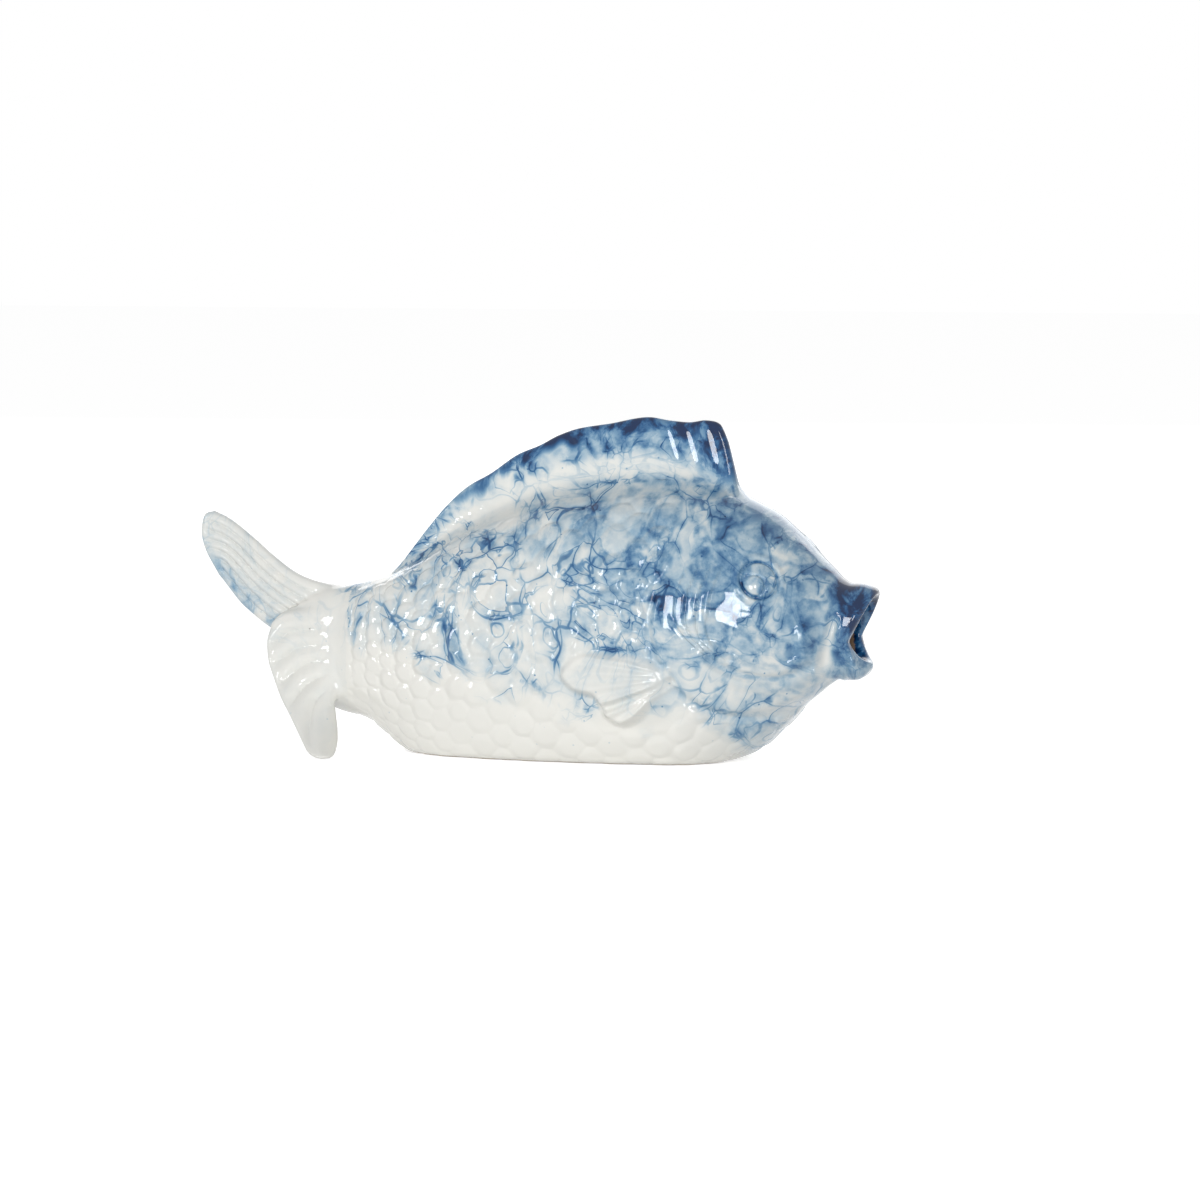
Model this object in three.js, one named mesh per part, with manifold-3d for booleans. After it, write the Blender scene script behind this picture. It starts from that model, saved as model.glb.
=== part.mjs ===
// Hollow glazed ceramic fish with an open mouth, made as the clay pieces it is pressed and luted together from.
// Millimetres, +X to the head, +Y to the fish's left, +Z up, the foot on z = 0.
import * as THREE from "three";
import Module from "manifold-3d";

const wasm = await Module();
wasm.setup();
const { Manifold, Mesh } = wasm;

// Overall sizes of the body without its fins and lips
const BODY_LENGTH = 194; // tail root plane to mouth plane
const BODY_HEIGHT = 102.5; // foot to the top of the back
const BODY_WIDTH = 85; // across both flanks

// Clay thickness and the slip joints between the pieces
const WALL = 4.5; // pressed shell wall
const SLAB = 5; // base slab
const JOINT = 0.3; // slip layer left between a luted piece and what it sits on
const VENT_RADIUS = 8; // hole in the base slab that lets the kiln gases out

// Fins and eyes
const FIN_EDGE = 2.2; // half thickness of the dorsal fin near its edge
const TAIL_HALF = 3.1; // half thickness of a tail lobe
const PECTORAL_LIFT = 2.9; // how far a pectoral fin stands off the flank
const DORSAL_RAYS = 27;
const RAY_CROWD = 9.5; // how much closer the rays stand towards the rear
const EYE_RADIUS = 7.6;
const EYE_SEAT = 1.8; // depth of the socket the eye button is pressed into
const SCALE_HEIGHT = 1.6; // relief of a scale
const SCALE_ROWS = 14; // scales around one flank
const PLATE_LIFT = 1.8; // step of the head plate over the scales
const GILL_FOLD = 1.8; // height of the three gill folds

// Factors from the drawn profile to the sizes above
const KX = BODY_LENGTH / 194;
const KY = BODY_WIDTH / 85;
const KZ = BODY_HEIGHT / 102.5;
const TAIL_X = -80 * KX;
const MOUTH_X = 114 * KX;

// Smooth curve through (x, value) pairs that doesn't overshoot them
function curve(points, k) {
  const xs = points.map((p) => p[0] * KX);
  const vs = points.map((p) => p[1] * k);
  const last = xs.length - 1;
  const step = xs.slice(1).map((x, i) => x - xs[i]);
  const rise = step.map((h, i) => (vs[i + 1] - vs[i]) / h);
  const slope = xs.map((_, i) => {
    if (i === 0) return rise[0];
    if (i === last) return rise[last - 1];
    const a = rise[i - 1];
    const b = rise[i];
    if (a * b <= 0) return 0;
    const wa = 2 * step[i] + step[i - 1];
    const wb = step[i] + 2 * step[i - 1];
    return (wa + wb) / (wa / a + wb / b);
  });
  return (at) => {
    const x = Math.min(Math.max(at, xs[0]), xs[last]);
    let i = 0;
    while (i < last - 1 && x > xs[i + 1]) i++;
    const h = step[i];
    const t = (x - xs[i]) / h;
    return (2 * t ** 3 - 3 * t ** 2 + 1) * vs[i] + (t ** 3 - 2 * t ** 2 + t) * h * slope[i]
      + (3 * t ** 2 - 2 * t ** 3) * vs[i + 1] + (t ** 3 - t ** 2) * h * slope[i + 1];
  };
}

// Side view: top of the back and underside of the belly (under the floor it is cut flat as the foot)
const BACK = curve([[-92, 60.2], [-76, 61.7], [-60, 65.5], [-46, 73], [-30, 82.5], [-15, 90], [0, 95.5], [20, 100],
  [42, 102.5], [60, 102.2], [70, 101], [76, 99.6], [84, 95.9], [92, 91.3], [99.4, 85.7], [107, 79], [114, 71.3]], KZ);
const BELLY = curve([[-92, 15], [-76, 13.6], [-68, 12.6], [-62.8, 10.6], [-58, 7.2], [-53.5, 3.2], [-47, -1.5],
  [-40, -5.5], [-32, -8], [20, -9], [60, -7], [70, -3], [77, 1], [84.6, 4.3], [92, 10.3], [99.7, 17.6], [107, 23.7], [114, 29.6]], KZ);
// Plan view: half width, and the height at which the section is widest
const WIDTH = curve([[-92, 8], [-80, 10.5], [-70, 14.5], [-55, 21.5], [-35, 30], [-15, 36.5], [10, 41], [35, 42.5],
  [55, 41.5], [70, 38.5], [82, 34.5], [94, 29], [104, 23.5], [114, 17.4]], KY);
const WIDEST = curve([[-92, 38], [-80, 37], [-60, 36], [-30, 38], [10, 42], [50, 45], [80, 48], [100, 49.5],
  [114, 50]], KZ);
const ROUND_UP = 2.2; // fullness of the section above its widest height
const ROUND_LOW = 2.5; // and below it

// Crest of the dorsal fin, from its rear end to the corner over the head
const CREST = curve([[-68, 59], [-60, 63.5], [-51.5, 74], [-43.5, 84.2], [-35.5, 93.4], [-27.2, 100.5],
  [-19.4, 104.8], [-7.8, 112.6], [0, 115.8], [7.7, 119.8], [15.4, 122.4], [27, 124.3], [42.3, 126.9], [50, 125.8],
  [57.6, 125.2], [64, 125.7], [69.2, 124.9], [71.8, 121.8]], KZ);

const smooth = (a, b, v) => {
  const t = Math.min(Math.max((v - a) / (b - a), 0), 1);
  return t * t * (3 - 2 * t);
};
const clamp = (low, high, v) => Math.min(Math.max(v, low), high);

// Closed solid from vertices and triangles, turned to face out
function solid(points, faces) {
  const flat = new Float32Array(points.flat());
  const build = (tris) => new Manifold(new Mesh({
    numProp: 3, vertProperties: flat, triVerts: new Uint32Array(tris.flat()),
  }));
  const made = build(faces);
  return made.volume() < 0 ? build(faces.map(([a, b, c]) => [a, c, b])) : made;
}

// Skin over closed rings of equal length; open lofts get a fan at each end, round ones close on themselves.
// Each four-sided face is split along its shorter diagonal, taken from the guide rings
function loft(rings, round = false, guide = rings) {
  const n = rings[0].length;
  const points = rings.flat();
  const measured = guide.flat();
  const faces = [];
  const spans = round ? rings.length : rings.length - 1;
  for (let i = 0; i < spans; i++) {
    for (let j = 0; j < n; j++) {
      const a = i * n + j;
      const b = i * n + (j + 1) % n;
      const c = ((i + 1) % rings.length) * n + j;
      const d = ((i + 1) % rings.length) * n + (j + 1) % n;
      const gap = (p, q) => Math.hypot(...measured[p].map((v, k) => v - measured[q][k]));
      if (gap(b, c) < gap(a, d)) faces.push([a, b, c], [b, d, c]);
      else faces.push([a, b, d], [a, d, c]);
    }
  }
  if (!round) {
    for (const i of [0, rings.length - 1]) {
      const hub = points.length;
      const ring = rings[i];
      points.push([0, 1, 2].map((k) => ring.reduce((sum, p) => sum + p[k], 0) / n));
      for (let j = 0; j < n; j++) {
        const tri = [hub, i * n + j, i * n + (j + 1) % n];
        faces.push(i ? tri : [tri[0], tri[2], tri[1]]);
      }
    }
  }
  return solid(points, faces);
}

// Point of the left flank's section at x: angle 0 on the back, PI under the belly, pulled in by inset
function section(x, angle, inset = 0) {
  const up = angle < Math.PI / 2;
  const mid = WIDEST(x);
  const high = (up ? BACK(x) - mid : mid - BELLY(x)) - inset;
  const full = 2 / (up ? ROUND_UP : ROUND_LOW);
  const s = Math.max(Math.sin(angle), 0);
  const c = Math.cos(angle);
  return [(WIDTH(x) - inset) * s ** full, mid + Math.sign(c) * high * Math.abs(c) ** full];
}

// Half width of the body at (x, z), for what is laid on the flanks
function flank(x, z) {
  const mid = WIDEST(x);
  const up = z > mid;
  const share = Math.abs(z - mid) / (up ? BACK(x) - mid : mid - BELLY(x));
  const full = up ? ROUND_UP : ROUND_LOW;
  return WIDTH(x) * Math.max(1 - share ** full, 0) ** (1 / full);
}

// Angles that divide the girth at x into equal steps
function girth(x, steps) {
  const fine = 120;
  const run = [0];
  let last = section(x, 0);
  for (let i = 1; i <= fine; i++) {
    const p = section(x, Math.PI * i / fine);
    run.push(run[i - 1] + Math.hypot(p[0] - last[0], p[1] - last[1]));
    last = p;
  }
  const angles = [];
  for (let j = 0, i = 0; j <= steps; j++) {
    const want = run[fine] * j / steps;
    while (i < fine - 1 && run[i + 1] < want) i++;
    angles.push(Math.PI * (i + Math.min((want - run[i]) / (run[i + 1] - run[i]), 1)) / fine);
  }
  return angles;
}

// Gill folds: three crescent ridges over the gill that run together under the cheek, at fold 0, 1 and 2
const foldX = (z) => (z < 58 ? 64 + 18.3 * ((58 - z) / 20.6) ** 2 : 64 + 2.3 * ((z - 58) / 12.5) ** 2);
const foldGap = (z) => 4.4 * clamp(0.3, 1, 1 - (58 - z) / 30);
function gillFolds(x, z) {
  const fold = (x - foldX(z)) / foldGap(z);
  const near = smooth(40, 50, z) * (1 - smooth(68, 77, z));
  return fold > -0.5 && fold < 2.5 ? near * GILL_FOLD * Math.cos(Math.PI * fold) ** 2 : 0;
}

// Head plate: the raised cheek whose rear and lower edge is a round step, from its foot to its brow
const PLATE_FOOT = 35.5;
const PLATE_BROW = 32.5;
function headPlate(x, z) {
  const r = x > 88 && z > 54 ? 0 : Math.hypot(x - 88, z - 54);
  return PLATE_LIFT * smooth(PLATE_FOOT, PLATE_BROW, r) * (1 - smooth(66, 82, z)) * (1 - smooth(104, 112, x));
}

// Where the flank stays plain: under the pectoral fin and the eye, along the back and on the head
function scaleShare(x, z, top) {
  const fin = Math.hypot((x - 42) / 26, (z - 29) / 16);
  const head = Math.hypot(x - 88, z - 54);
  return smooth(0.9, 1.15, fin) * smooth(34, 38, head) * (1 - smooth(50, 62, x) * smooth(40, 60, z))
    * smooth(0.08, 0.2, top) * smooth(3, 9, z) * smooth(-72, -62, x);
}

// Stations along the body, each its x at a height. There are three to a column of scales, and the columns
// bend round the head plate. The rest follow the plate's step and the ridges and valleys of the gill folds
const STATIONS = [];
const plateX = (z, r) => 88 - Math.sqrt(r * r - (clamp(24, 78, z) - 54) ** 2);
const ridgeX = (z, fold) => foldX(clamp(38, 78, z)) + fold * foldGap(clamp(38, 78, z));
const station = (at, column = null) => STATIONS.push({ at, column });
const BEND_X = 10; // the columns are straight behind this
const HEAD_X = 52.5; // and end here at the plate's middle height
const SCALES_X = -68; // behind this the tail stock is plain
for (const x of [-80, -76, -72]) station(() => x);
for (let x = SCALES_X, k = 0; x < HEAD_X - 1.2; x += (6.4 + 2.2 * smooth(-80, 0, x)) / 3, k++) {
  const share = Math.max(x - BEND_X, 0) / (HEAD_X - BEND_X);
  station((z) => Math.min(x, BEND_X) + share * (plateX(z, PLATE_FOOT) - BEND_X), k / 3);
}
for (const r of [PLATE_FOOT, (PLATE_FOOT + PLATE_BROW) / 2, PLATE_BROW]) station((z) => plateX(z, r));
station((z) => (plateX(z, PLATE_BROW) + ridgeX(z, -0.5)) / 2);
for (let fold = -0.5; fold < 2.6; fold += 0.5) station((z) => ridgeX(z, fold));
for (const share of [0.33, 0.67]) station((z) => ridgeX(z, 2.5) * (1 - share) + 94 * share);
for (const x of [94, 98, 102, 106, 110, 114]) station(() => x);

// Height of a scale at (column, row), 1 at its middle and 0 where four meet, fuller to the tail
function scaleAt(column, row) {
  let best = 0;
  for (let c = Math.floor(column) - 1; c <= column + 1.5; c++) {
    const offset = c % 2 ? 0.5 : 0;
    const r = Math.round(row - offset) + offset;
    const d = Math.abs(column - c) + 2 * Math.abs(row - r);
    best = Math.max(best, (1 - d * d) * (1 - 0.5 * (column - c)));
  }
  return best;
}

// Outline of one flank at each station, with its relief; raise lifts the whole surface
function flankRings(raise) {
  const steps = 2 * SCALE_ROWS;
  return STATIONS.map(({ at, column }) => {
    return girth(at(54) * KX, steps).map((angle, j) => {
      let x = at(54) * KX;
      for (let i = 0; i < 12; i++) x = (x + at(section(x, angle)[1] / KZ) * KX) / 2;
      const drawn = x / KX;
      const [y, z] = section(x, angle);
      const before = section(x, Math.max(angle - 0.02, 0));
      const after = section(x, Math.min(angle + 0.02, Math.PI));
      const run = [after[0] - before[0], after[1] - before[1]];
      const size = Math.hypot(run[0], run[1]) || 1;
      const zd = z / KZ;
      const share = scaleShare(drawn, zd, Math.sin(angle / 2));
      const scale = column !== null && j > 0 && j < steps ? share * SCALE_HEIGHT * scaleAt(column, j / 2) : 0;
      const lift = raise + scale + gillFolds(drawn, zd) + headPlate(drawn, zd);
      const out = j === 0 || j === steps ? 0 : -run[1] / size;
      const rise = j === 0 ? 1 : j === steps ? -1 : run[0] / size;
      return [x, y + out * lift, z + rise * lift];
    });
  });
}

const mirrored = (ring) => ring.slice(1, -1).reverse().map(([x, y, z]) => [x, -y, z]);
const box = (x0, x1, y0, y1, z0, z1) => loft([x0, x1].map((x) => [[x, y0, z0], [x, y1, z0], [x, y1, z1], [x, y0, z1]]));
const FAR = 400;

// Pressed body before its parting cuts, and the same with a slip joint's room around it
const bodyRings = flankRings(0).map((ring) => [...ring, ...mirrored(ring)]);
const roomRings = flankRings(JOINT).map((ring, i) => [...ring, ...mirrored(ring)].map(([x, y, z]) => [
  i ? x : x - JOINT, y, z]));
const wholeBody = loft(bodyRings);
const bodyEnvelope = loft(roomRings, false, bodyRings);

// Hollow inside, open through the mouth and down to the base slab
const CAVITY_REAR = -66;
const hollow = [];
for (let i = 0; i <= 15; i++) {
  const x = (CAVITY_REAR + (MOUTH_X / KX - CAVITY_REAR + 0.5) * i / 15) * KX;
  const inset = WALL + (i === 0 ? 3.5 : 0);
  const half = girth(Math.min(x, MOUTH_X), 10).map((angle) => [x, ...section(Math.min(x, MOUTH_X), angle, inset)]);
  hollow.push([...half, ...mirrored(half)]);
}
const cavity = loft(hollow);

// Eye buttons and their sockets, square to the cheek: a ringed lid, the ball, and a pupil set low and back
const EYE_X = 90.8 * KX;
const EYE_Z = 69.4 * KZ;
function eyeParts(side) {
  const y = flank(EYE_X, EYE_Z);
  const d = 1;
  const slopeX = (flank(EYE_X + d, EYE_Z) - flank(EYE_X - d, EYE_Z)) / (2 * d);
  const slopeZ = (flank(EYE_X, EYE_Z + d) - flank(EYE_X, EYE_Z - d)) / (2 * d);
  const axis = new THREE.Vector3(-slopeX, side, -slopeZ).normalize();
  const ahead = new THREE.Vector3(1, 0, 0).addScaledVector(axis, -axis.x).normalize();
  const up = new THREE.Vector3().crossVectors(axis, ahead).multiplyScalar(-side);
  const centre = new THREE.Vector3(EYE_X, side * y, EYE_Z);
  const turned = (profile, count) => loft(profile.map(([r, h, slip]) => Array.from({ length: count }, (_, k) => {
    const a = 2 * Math.PI * k / count;
    return centre.clone().addScaledVector(axis, h).addScaledVector(ahead, r * Math.cos(a) - 0.73 * slip)
      .addScaledVector(up, r * Math.sin(a) - 0.68 * slip).toArray();
  })));
  const seat = EYE_SEAT + PLATE_LIFT * 0.2;
  const R = EYE_RADIUS;
  const back = [[R - 0.6, -seat + JOINT, 0], [R, -seat + JOINT + 0.6, 0]];
  const lid = [[R, 0.5, 0], [R - 0.5, 1.15, 0], [R - 1, 0.95, 0], [R - 1.4, 0.35, 0]];
  const ball = [[R - 1.9, 1.05, 0.1], [R * 0.64, 1.65, 0.7], [R * 0.54, 1.9, 1.4]];
  const pupil = [[R * 0.46, 1.5, 1.95], [R * 0.42, 1.9, 2.2], [R * 0.33, 2.35, 2.25], [R * 0.17, 2.65, 2.3]];
  const button = turned([...back, ...lid, ...ball, ...pupil], 18);
  const socket = turned([[R + JOINT, -seat, 0], [R + JOINT, 5, 0]], 18);
  return { button, socket };
}
const eyeRight = eyeParts(-1);
const eyeLeft = eyeParts(1);

// The two shells meet on the centre plane and stand on the slab
function shell(side) {
  const own = box(-FAR, FAR, side > 0 ? 0 : -FAR, side > 0 ? FAR : 0, SLAB, FAR);
  return wholeBody.subtract(cavity).intersect(own).subtract(side > 0 ? eyeLeft.socket : eyeRight.socket);
}

// Base slab: the foot's outline, with the vent hole off its centre
const slabLayer = box(-FAR, FAR, -FAR, FAR, 0, SLAB);
const vent = loft([-2, SLAB + 2].map((z) => Array.from({ length: 32 }, (_, k) => {
  const a = 2 * Math.PI * k / 32;
  return [-24 * KX + VENT_RADIUS * Math.cos(a), VENT_RADIUS * Math.sin(a), z];
})));
const slab = wholeBody.intersect(slabLayer).subtract(vent);

// Mouth rim: the lip ring, flared at the top and bottom and drawn back at the corners
function mouthRim() {
  const count = 36;
  const profile = [[0, 0.05], [0.1, 0.24], [0.25, 0.45], [0.45, 0.56], [0.75, 0.68], [0.92, 0.86], [1, 1.06]];
  const ringsOf = Array.from({ length: count }, (_, k) => {
    const angle = 2 * Math.PI * k / count;
    const side = Math.sin(angle) < -1e-9 ? -1 : 1;
    const folded = Math.acos(Math.cos(angle));
    const [yo, zo] = section(MOUTH_X, folded);
    const [yi, zi] = section(MOUTH_X, folded, WALL);
    const c = Math.cos(folded);
    const edgeX = MOUTH_X + (6.3 + (c > 0 ? 9 : 6.7) * Math.abs(c) ** 1.4) * KX;
    const ye = 12.2 * KY * Math.sin(folded) ** 0.95;
    const ze = (46.5 + (c > 0 ? 16.8 : 9.9) * Math.sign(c) * Math.abs(c) ** 1.05) * KZ;
    const at = (f, y, z) => [MOUTH_X + (edgeX - MOUTH_X) * f, side * Math.max(y, 0), z];
    const outer = profile.map(([f, q]) => at(f, yo + (ye - yo) * q, zo + (ze - zo) * q));
    const toInner = [[1.01, 0.93, 0], [0.95, 0.85, 0], [0.6, 0.79, 0.05], [0.25, 0.79, 0.5], [0, 0.79, 1]];
    const inner = toInner.map(([f, share, q]) => {
      const z = 48.5 * KZ + (ze - 48.5 * KZ) * share;
      return at(f, ye * share + (yi - ye * share) * q, z + (zi - z) * q);
    });
    return [...outer, ...inner];
  });
  return loft(ringsOf, true);
}

// Tail lobe: sheet between two side curves, as thick as the tail stock at its root and rounded at its edges
function lobe(low, high, outer, columns, rows, middle, ribs, freeFrom, freeAt) {
  const [a, b, o] = [low, high, outer].map((list) => new THREE.SplineCurve(
    list.map(([x, z]) => new THREE.Vector2(x * KX, z * KZ))));
  const across = [0, 0.35 / columns, ...Array.from({ length: columns - 1 }, (_, k) => (k + 1) / columns),
    1 - 0.35 / columns, 1];
  const along = [...Array.from({ length: rows }, (_, k) => k / rows), 1 - 0.4 / rows, 1 - 0.12 / rows, 1];
  const near = [];
  const far = [];
  for (const u of along) {
    for (const v of across) {
      const side = a.getPoint(u).lerp(b.getPoint(u), v);
      const end = a.getPoint(1).lerp(b.getPoint(1), v);
      const { x, y: z } = side.add(o.getPointAt(v).sub(end).multiplyScalar(u ** 1.3));
      const slopeX = middle(x + 0.5, z) - middle(x - 0.5, z);
      const slopeZ = middle(x, z + 0.5) - middle(x, z - 0.5);
      const rim = Math.min((1 - u) * rows / 0.8, v * columns / 0.9, (1 - v) * columns / 0.9, 1);
      const edge = 0.16 + 0.84 * Math.sqrt(1 - (1 - Math.max(rim, 0)) ** 2);
      const h = ribs(u, v) * edge * Math.hypot(1, slopeX, slopeZ);
      const stock = Math.max(flank(Math.max(x, TAIL_X), z) - 0.3, 1.6) * edge;
      const free = smooth(freeFrom, freeAt, u);
      const y = middle(x, z);
      near.push([x, -stock + (y - h + stock) * free, z]);
      far.push([x, stock + (y + h - stock) * free, z]);
    }
  }
  return sheet(near, far, along.length, across.length);
}

// Closed solid between two grids of points
function sheet(front, back, rows, columns) {
  const faces = [];
  const id = (face, i, j) => face * rows * columns + i * columns + j;
  const quad = (p, q, r, s) => faces.push([p, q, r], [p, r, s]);
  for (let i = 0; i < rows - 1; i++) {
    for (let j = 0; j < columns - 1; j++) {
      quad(id(0, i, j), id(0, i, j + 1), id(0, i + 1, j + 1), id(0, i + 1, j));
      quad(id(1, i, j), id(1, i + 1, j), id(1, i + 1, j + 1), id(1, i, j + 1));
    }
  }
  for (let j = 0; j < columns - 1; j++) {
    quad(id(0, 0, j), id(1, 0, j), id(1, 0, j + 1), id(0, 0, j + 1));
    quad(id(0, rows - 1, j), id(0, rows - 1, j + 1), id(1, rows - 1, j + 1), id(1, rows - 1, j));
  }
  for (let i = 0; i < rows - 1; i++) {
    quad(id(0, i, 0), id(0, i + 1, 0), id(1, i + 1, 0), id(1, i, 0));
    quad(id(0, i, columns - 1), id(1, i, columns - 1), id(1, i + 1, columns - 1), id(0, i + 1, columns - 1));
  }
  return solid([...front, ...back], faces);
}

// Dorsal fin: ribbed slab whose rays lean back, with a scalloped crest; a column on each ray and groove
function dorsalFin() {
  const count = 2 * DORSAL_RAYS;
  const sum = DORSAL_RAYS + RAY_CROWD;
  const heights = [0, 0.22, 0.45, 0.85, 1];
  const front = [];
  const back = [];
  for (const u of heights) {
    for (let k = 0; k <= count; k++) {
      const v = (sum - Math.sqrt(sum * sum - 2 * RAY_CROWD * k)) / (2 * RAY_CROWD);
      const rootX = (-61 + 138.5 * v) * KX;
      const tipX = (-66 + 137.3 * v) * KX;
      const ray = k % 2 ? -1 : 1;
      const rootZ = BACK(rootX) - 4;
      const tipZ = Math.max(CREST(tipX), rootZ + 4) + 0.3 * ray - 0.3;
      const x = rootX + (tipX - rootX) * u ** 1.15;
      const z = rootZ + (tipZ - rootZ) * u;
      const slim = FIN_EDGE * (1 + (0.14 + 0.14 * v) * ray * smooth(0.1, 0.4, u));
      const end = Math.sqrt(1 - (1 - Math.min(v * 16, (1 - v) * 22, 1)) ** 2);
      const rim = Math.sqrt(1 - (1 - Math.min((1 - u) / 0.2, 1)) ** 2);
      const foot = Math.max(1 - u / 0.42, 0);
      const h = (slim + 9 * foot ** 2.2) * (0.2 + 0.8 * rim) * (0.2 + 0.8 * end);
      front.push([x, -h, z]);
      back.push([x, h, z]);
    }
  }
  return sheet(front, back, heights.length, count + 1).subtract(bodyEnvelope);
}

// The lobes lap over each other at the root: this is the step they are cut to
const LAP_LOW = 36.5 * KZ;
const LAP_HIGH = 52 * KZ;
const g = JOINT / 2;
const upperZone = box(-FAR, TAIL_X - JOINT, -FAR, FAR, LAP_HIGH + g, FAR)
  .add(box(-FAR, TAIL_X - JOINT, g, FAR, LAP_LOW + g, FAR));
const lowerZone = box(-FAR, -60 * KX, -FAR, FAR, -FAR, LAP_LOW - g)
  .add(box(-FAR, TAIL_X - JOINT, -FAR, -g, -FAR, LAP_HIGH - g));

const grooves = (v, n, u, depth) => 1 - depth * smooth(0.12, 0.4, u) * Math.abs(Math.sin(Math.PI * n * v)) ** 0.7
  * 0.5 + depth * 0.25;

function upperLobe() {
  const top = [[-79, 60.4], [-90.7, 62.6], [-99.2, 65.9], [-107.9, 71.6], [-116.8, 78.3], [-126, 84.4], [-133.5, 87.8]];
  const low = [[-79, 36], [-96, 38.4], [-103.5, 41.6], [-111, 45.6], [-117, 49.6], [-122.6, 54], [-131.5, 63.6]];
  const tip = [[-133.5, 87.8], [-137.2, 86.3], [-138.4, 79.6], [-136.6, 72.6], [-131.5, 63.6]];
  const middle = (x) => (3.4 + 9.6 * Math.min(Math.max((-82 - x / KX) / 48, 0), 1) ** 1.5) * KY;
  const ribs = (u, v) => TAIL_HALF * grooves(v, 7, u, 0.3) * (1 - 0.2 * u) + 0.9 * smooth(0.8, 0.97, v);
  return lobe(top, low, tip, 14, 8, middle, ribs, 0.02, 0.36).intersect(upperZone);
}

function lowerLobe() {
  const top = [[-78, 51.6], [-86, 51.2], [-93.5, 50.9], [-100.3, 50], [-104.4, 47.2]];
  const low = [[-75.8, 16.5], [-74.8, 13], [-72.9, 9.6], [-70.6, 5.2], [-69.2, 0.9]];
  const edge = [[-104.4, 47], [-106.2, 40.3], [-105.3, 33.4], [-103, 28], [-98.3, 20.3], [-92.7, 14.2], [-86.4, 8.2],
    [-79.4, 3], [-73, 0.7], [-69.2, 0.9]];
  const middle = (x, z) => {
    const t = Math.min(Math.max((45 - z / KZ) / 45, 0), 1);
    return -(3.3 + 7 * t + 31 * t ** 3) * KY;
  };
  const ribs = (u, v) => TAIL_HALF * grooves(v, 6, u, 0.3);
  return lobe(top, low, edge, 12, 7, middle, ribs, 0.1, 0.62).intersect(lowerZone).subtract(bodyEnvelope)
    .intersect(box(-FAR, FAR, -FAR, FAR, 0.2, FAR));
}

// Pectoral fin: a fan of rays in two lobes laid on the flank
function pectoralFin(side) {
  const root = new THREE.LineCurve(new THREE.Vector2(63.2, 31.6), new THREE.Vector2(60.4, 36.4));
  const edge = new THREE.SplineCurve([[54.5, 24.4], [49.4, 18.6], [42.8, 15.8], [37.4, 17.9], [34.4, 22.2], [32, 26.4],
    [25, 28.1], [20.2, 32.2], [19.5, 35.8], [22.2, 39.8], [28.6, 43.2], [40.6, 42.4]]
    .map(([x, z]) => new THREE.Vector2(x, z)));
  const columns = 24;
  const along = [0, 0.14, 0.4, 0.68, 0.9, 1];
  const outer = [];
  const inner = [];
  for (const u of along) {
    for (let k = 0; k <= columns; k++) {
      const v = k / columns;
      const p = root.getPoint(v).lerp(edge.getPointAt(v), u);
      const x = p.x * KX;
      const z = p.y * KZ;
      const rim = Math.sqrt(1 - (1 - Math.min((1 - u) / 0.16, k / 1.5, (columns - k) / 1.5, u / 0.1 + 0.5, 1)) ** 2);
      const ray = 0.5 + 0.5 * Math.cos(2 * Math.PI * 12 * v);
      const lift = JOINT + 0.5 + PECTORAL_LIFT * rim * (0.72 + 0.28 * ray * smooth(0.1, 0.4, u));
      outer.push([x, side * (flank(x, z) + lift), z]);
      inner.push([x, side * (flank(x, z) - 2), z]);
    }
  }
  return sheet(outer, inner, along.length, columns + 1).subtract(bodyEnvelope);
}

const glaze = (name, colour) => {
  const m = new THREE.MeshStandardMaterial({ color: colour, roughness: 0.12, metalness: 0 });
  m.name = name;
  return m;
};
const BODY_GLAZE = glaze("body_glaze", 0xb9c8d8);
const FIN_GLAZE = glaze("fin_glaze", 0x6f93b8);
const RIM_GLAZE = glaze("rim_glaze", 0x3c6a9c);
const FOOT_CLAY = new THREE.MeshStandardMaterial({ color: 0xd9c7ae, roughness: 0.8, metalness: 0 });

const part = new THREE.Group();
function add(name, made, material) {
  const mesh = made.getMesh();
  const geometry = new THREE.BufferGeometry();
  const count = mesh.numProp;
  const flat = new Float32Array(mesh.numVert * 3);
  for (let i = 0; i < mesh.numVert; i++) flat.set(mesh.vertProperties.subarray(i * count, i * count + 3), i * 3);
  geometry.setAttribute("position", new THREE.BufferAttribute(flat, 3));
  geometry.setIndex(new THREE.BufferAttribute(mesh.triVerts, 1));
  geometry.computeVertexNormals();
  const piece = new THREE.Mesh(geometry, material);
  piece.name = name;
  part.add(piece);
}

add("body_right_shell", shell(-1), BODY_GLAZE);
add("body_left_shell", shell(1), BODY_GLAZE);
add("base_slab", slab, FOOT_CLAY);
add("mouth_rim", mouthRim(), RIM_GLAZE);
add("dorsal_fin", dorsalFin(), FIN_GLAZE);
add("tail_upper_lobe", upperLobe(), FIN_GLAZE);
add("tail_lower_lobe", lowerLobe(), FIN_GLAZE);
add("pectoral_fin_right", pectoralFin(-1), BODY_GLAZE);
add("pectoral_fin_left", pectoralFin(1), BODY_GLAZE);
add("eye_right", eyeRight.button, BODY_GLAZE);
add("eye_left", eyeLeft.button, BODY_GLAZE);

export default part;
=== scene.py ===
import math

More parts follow.
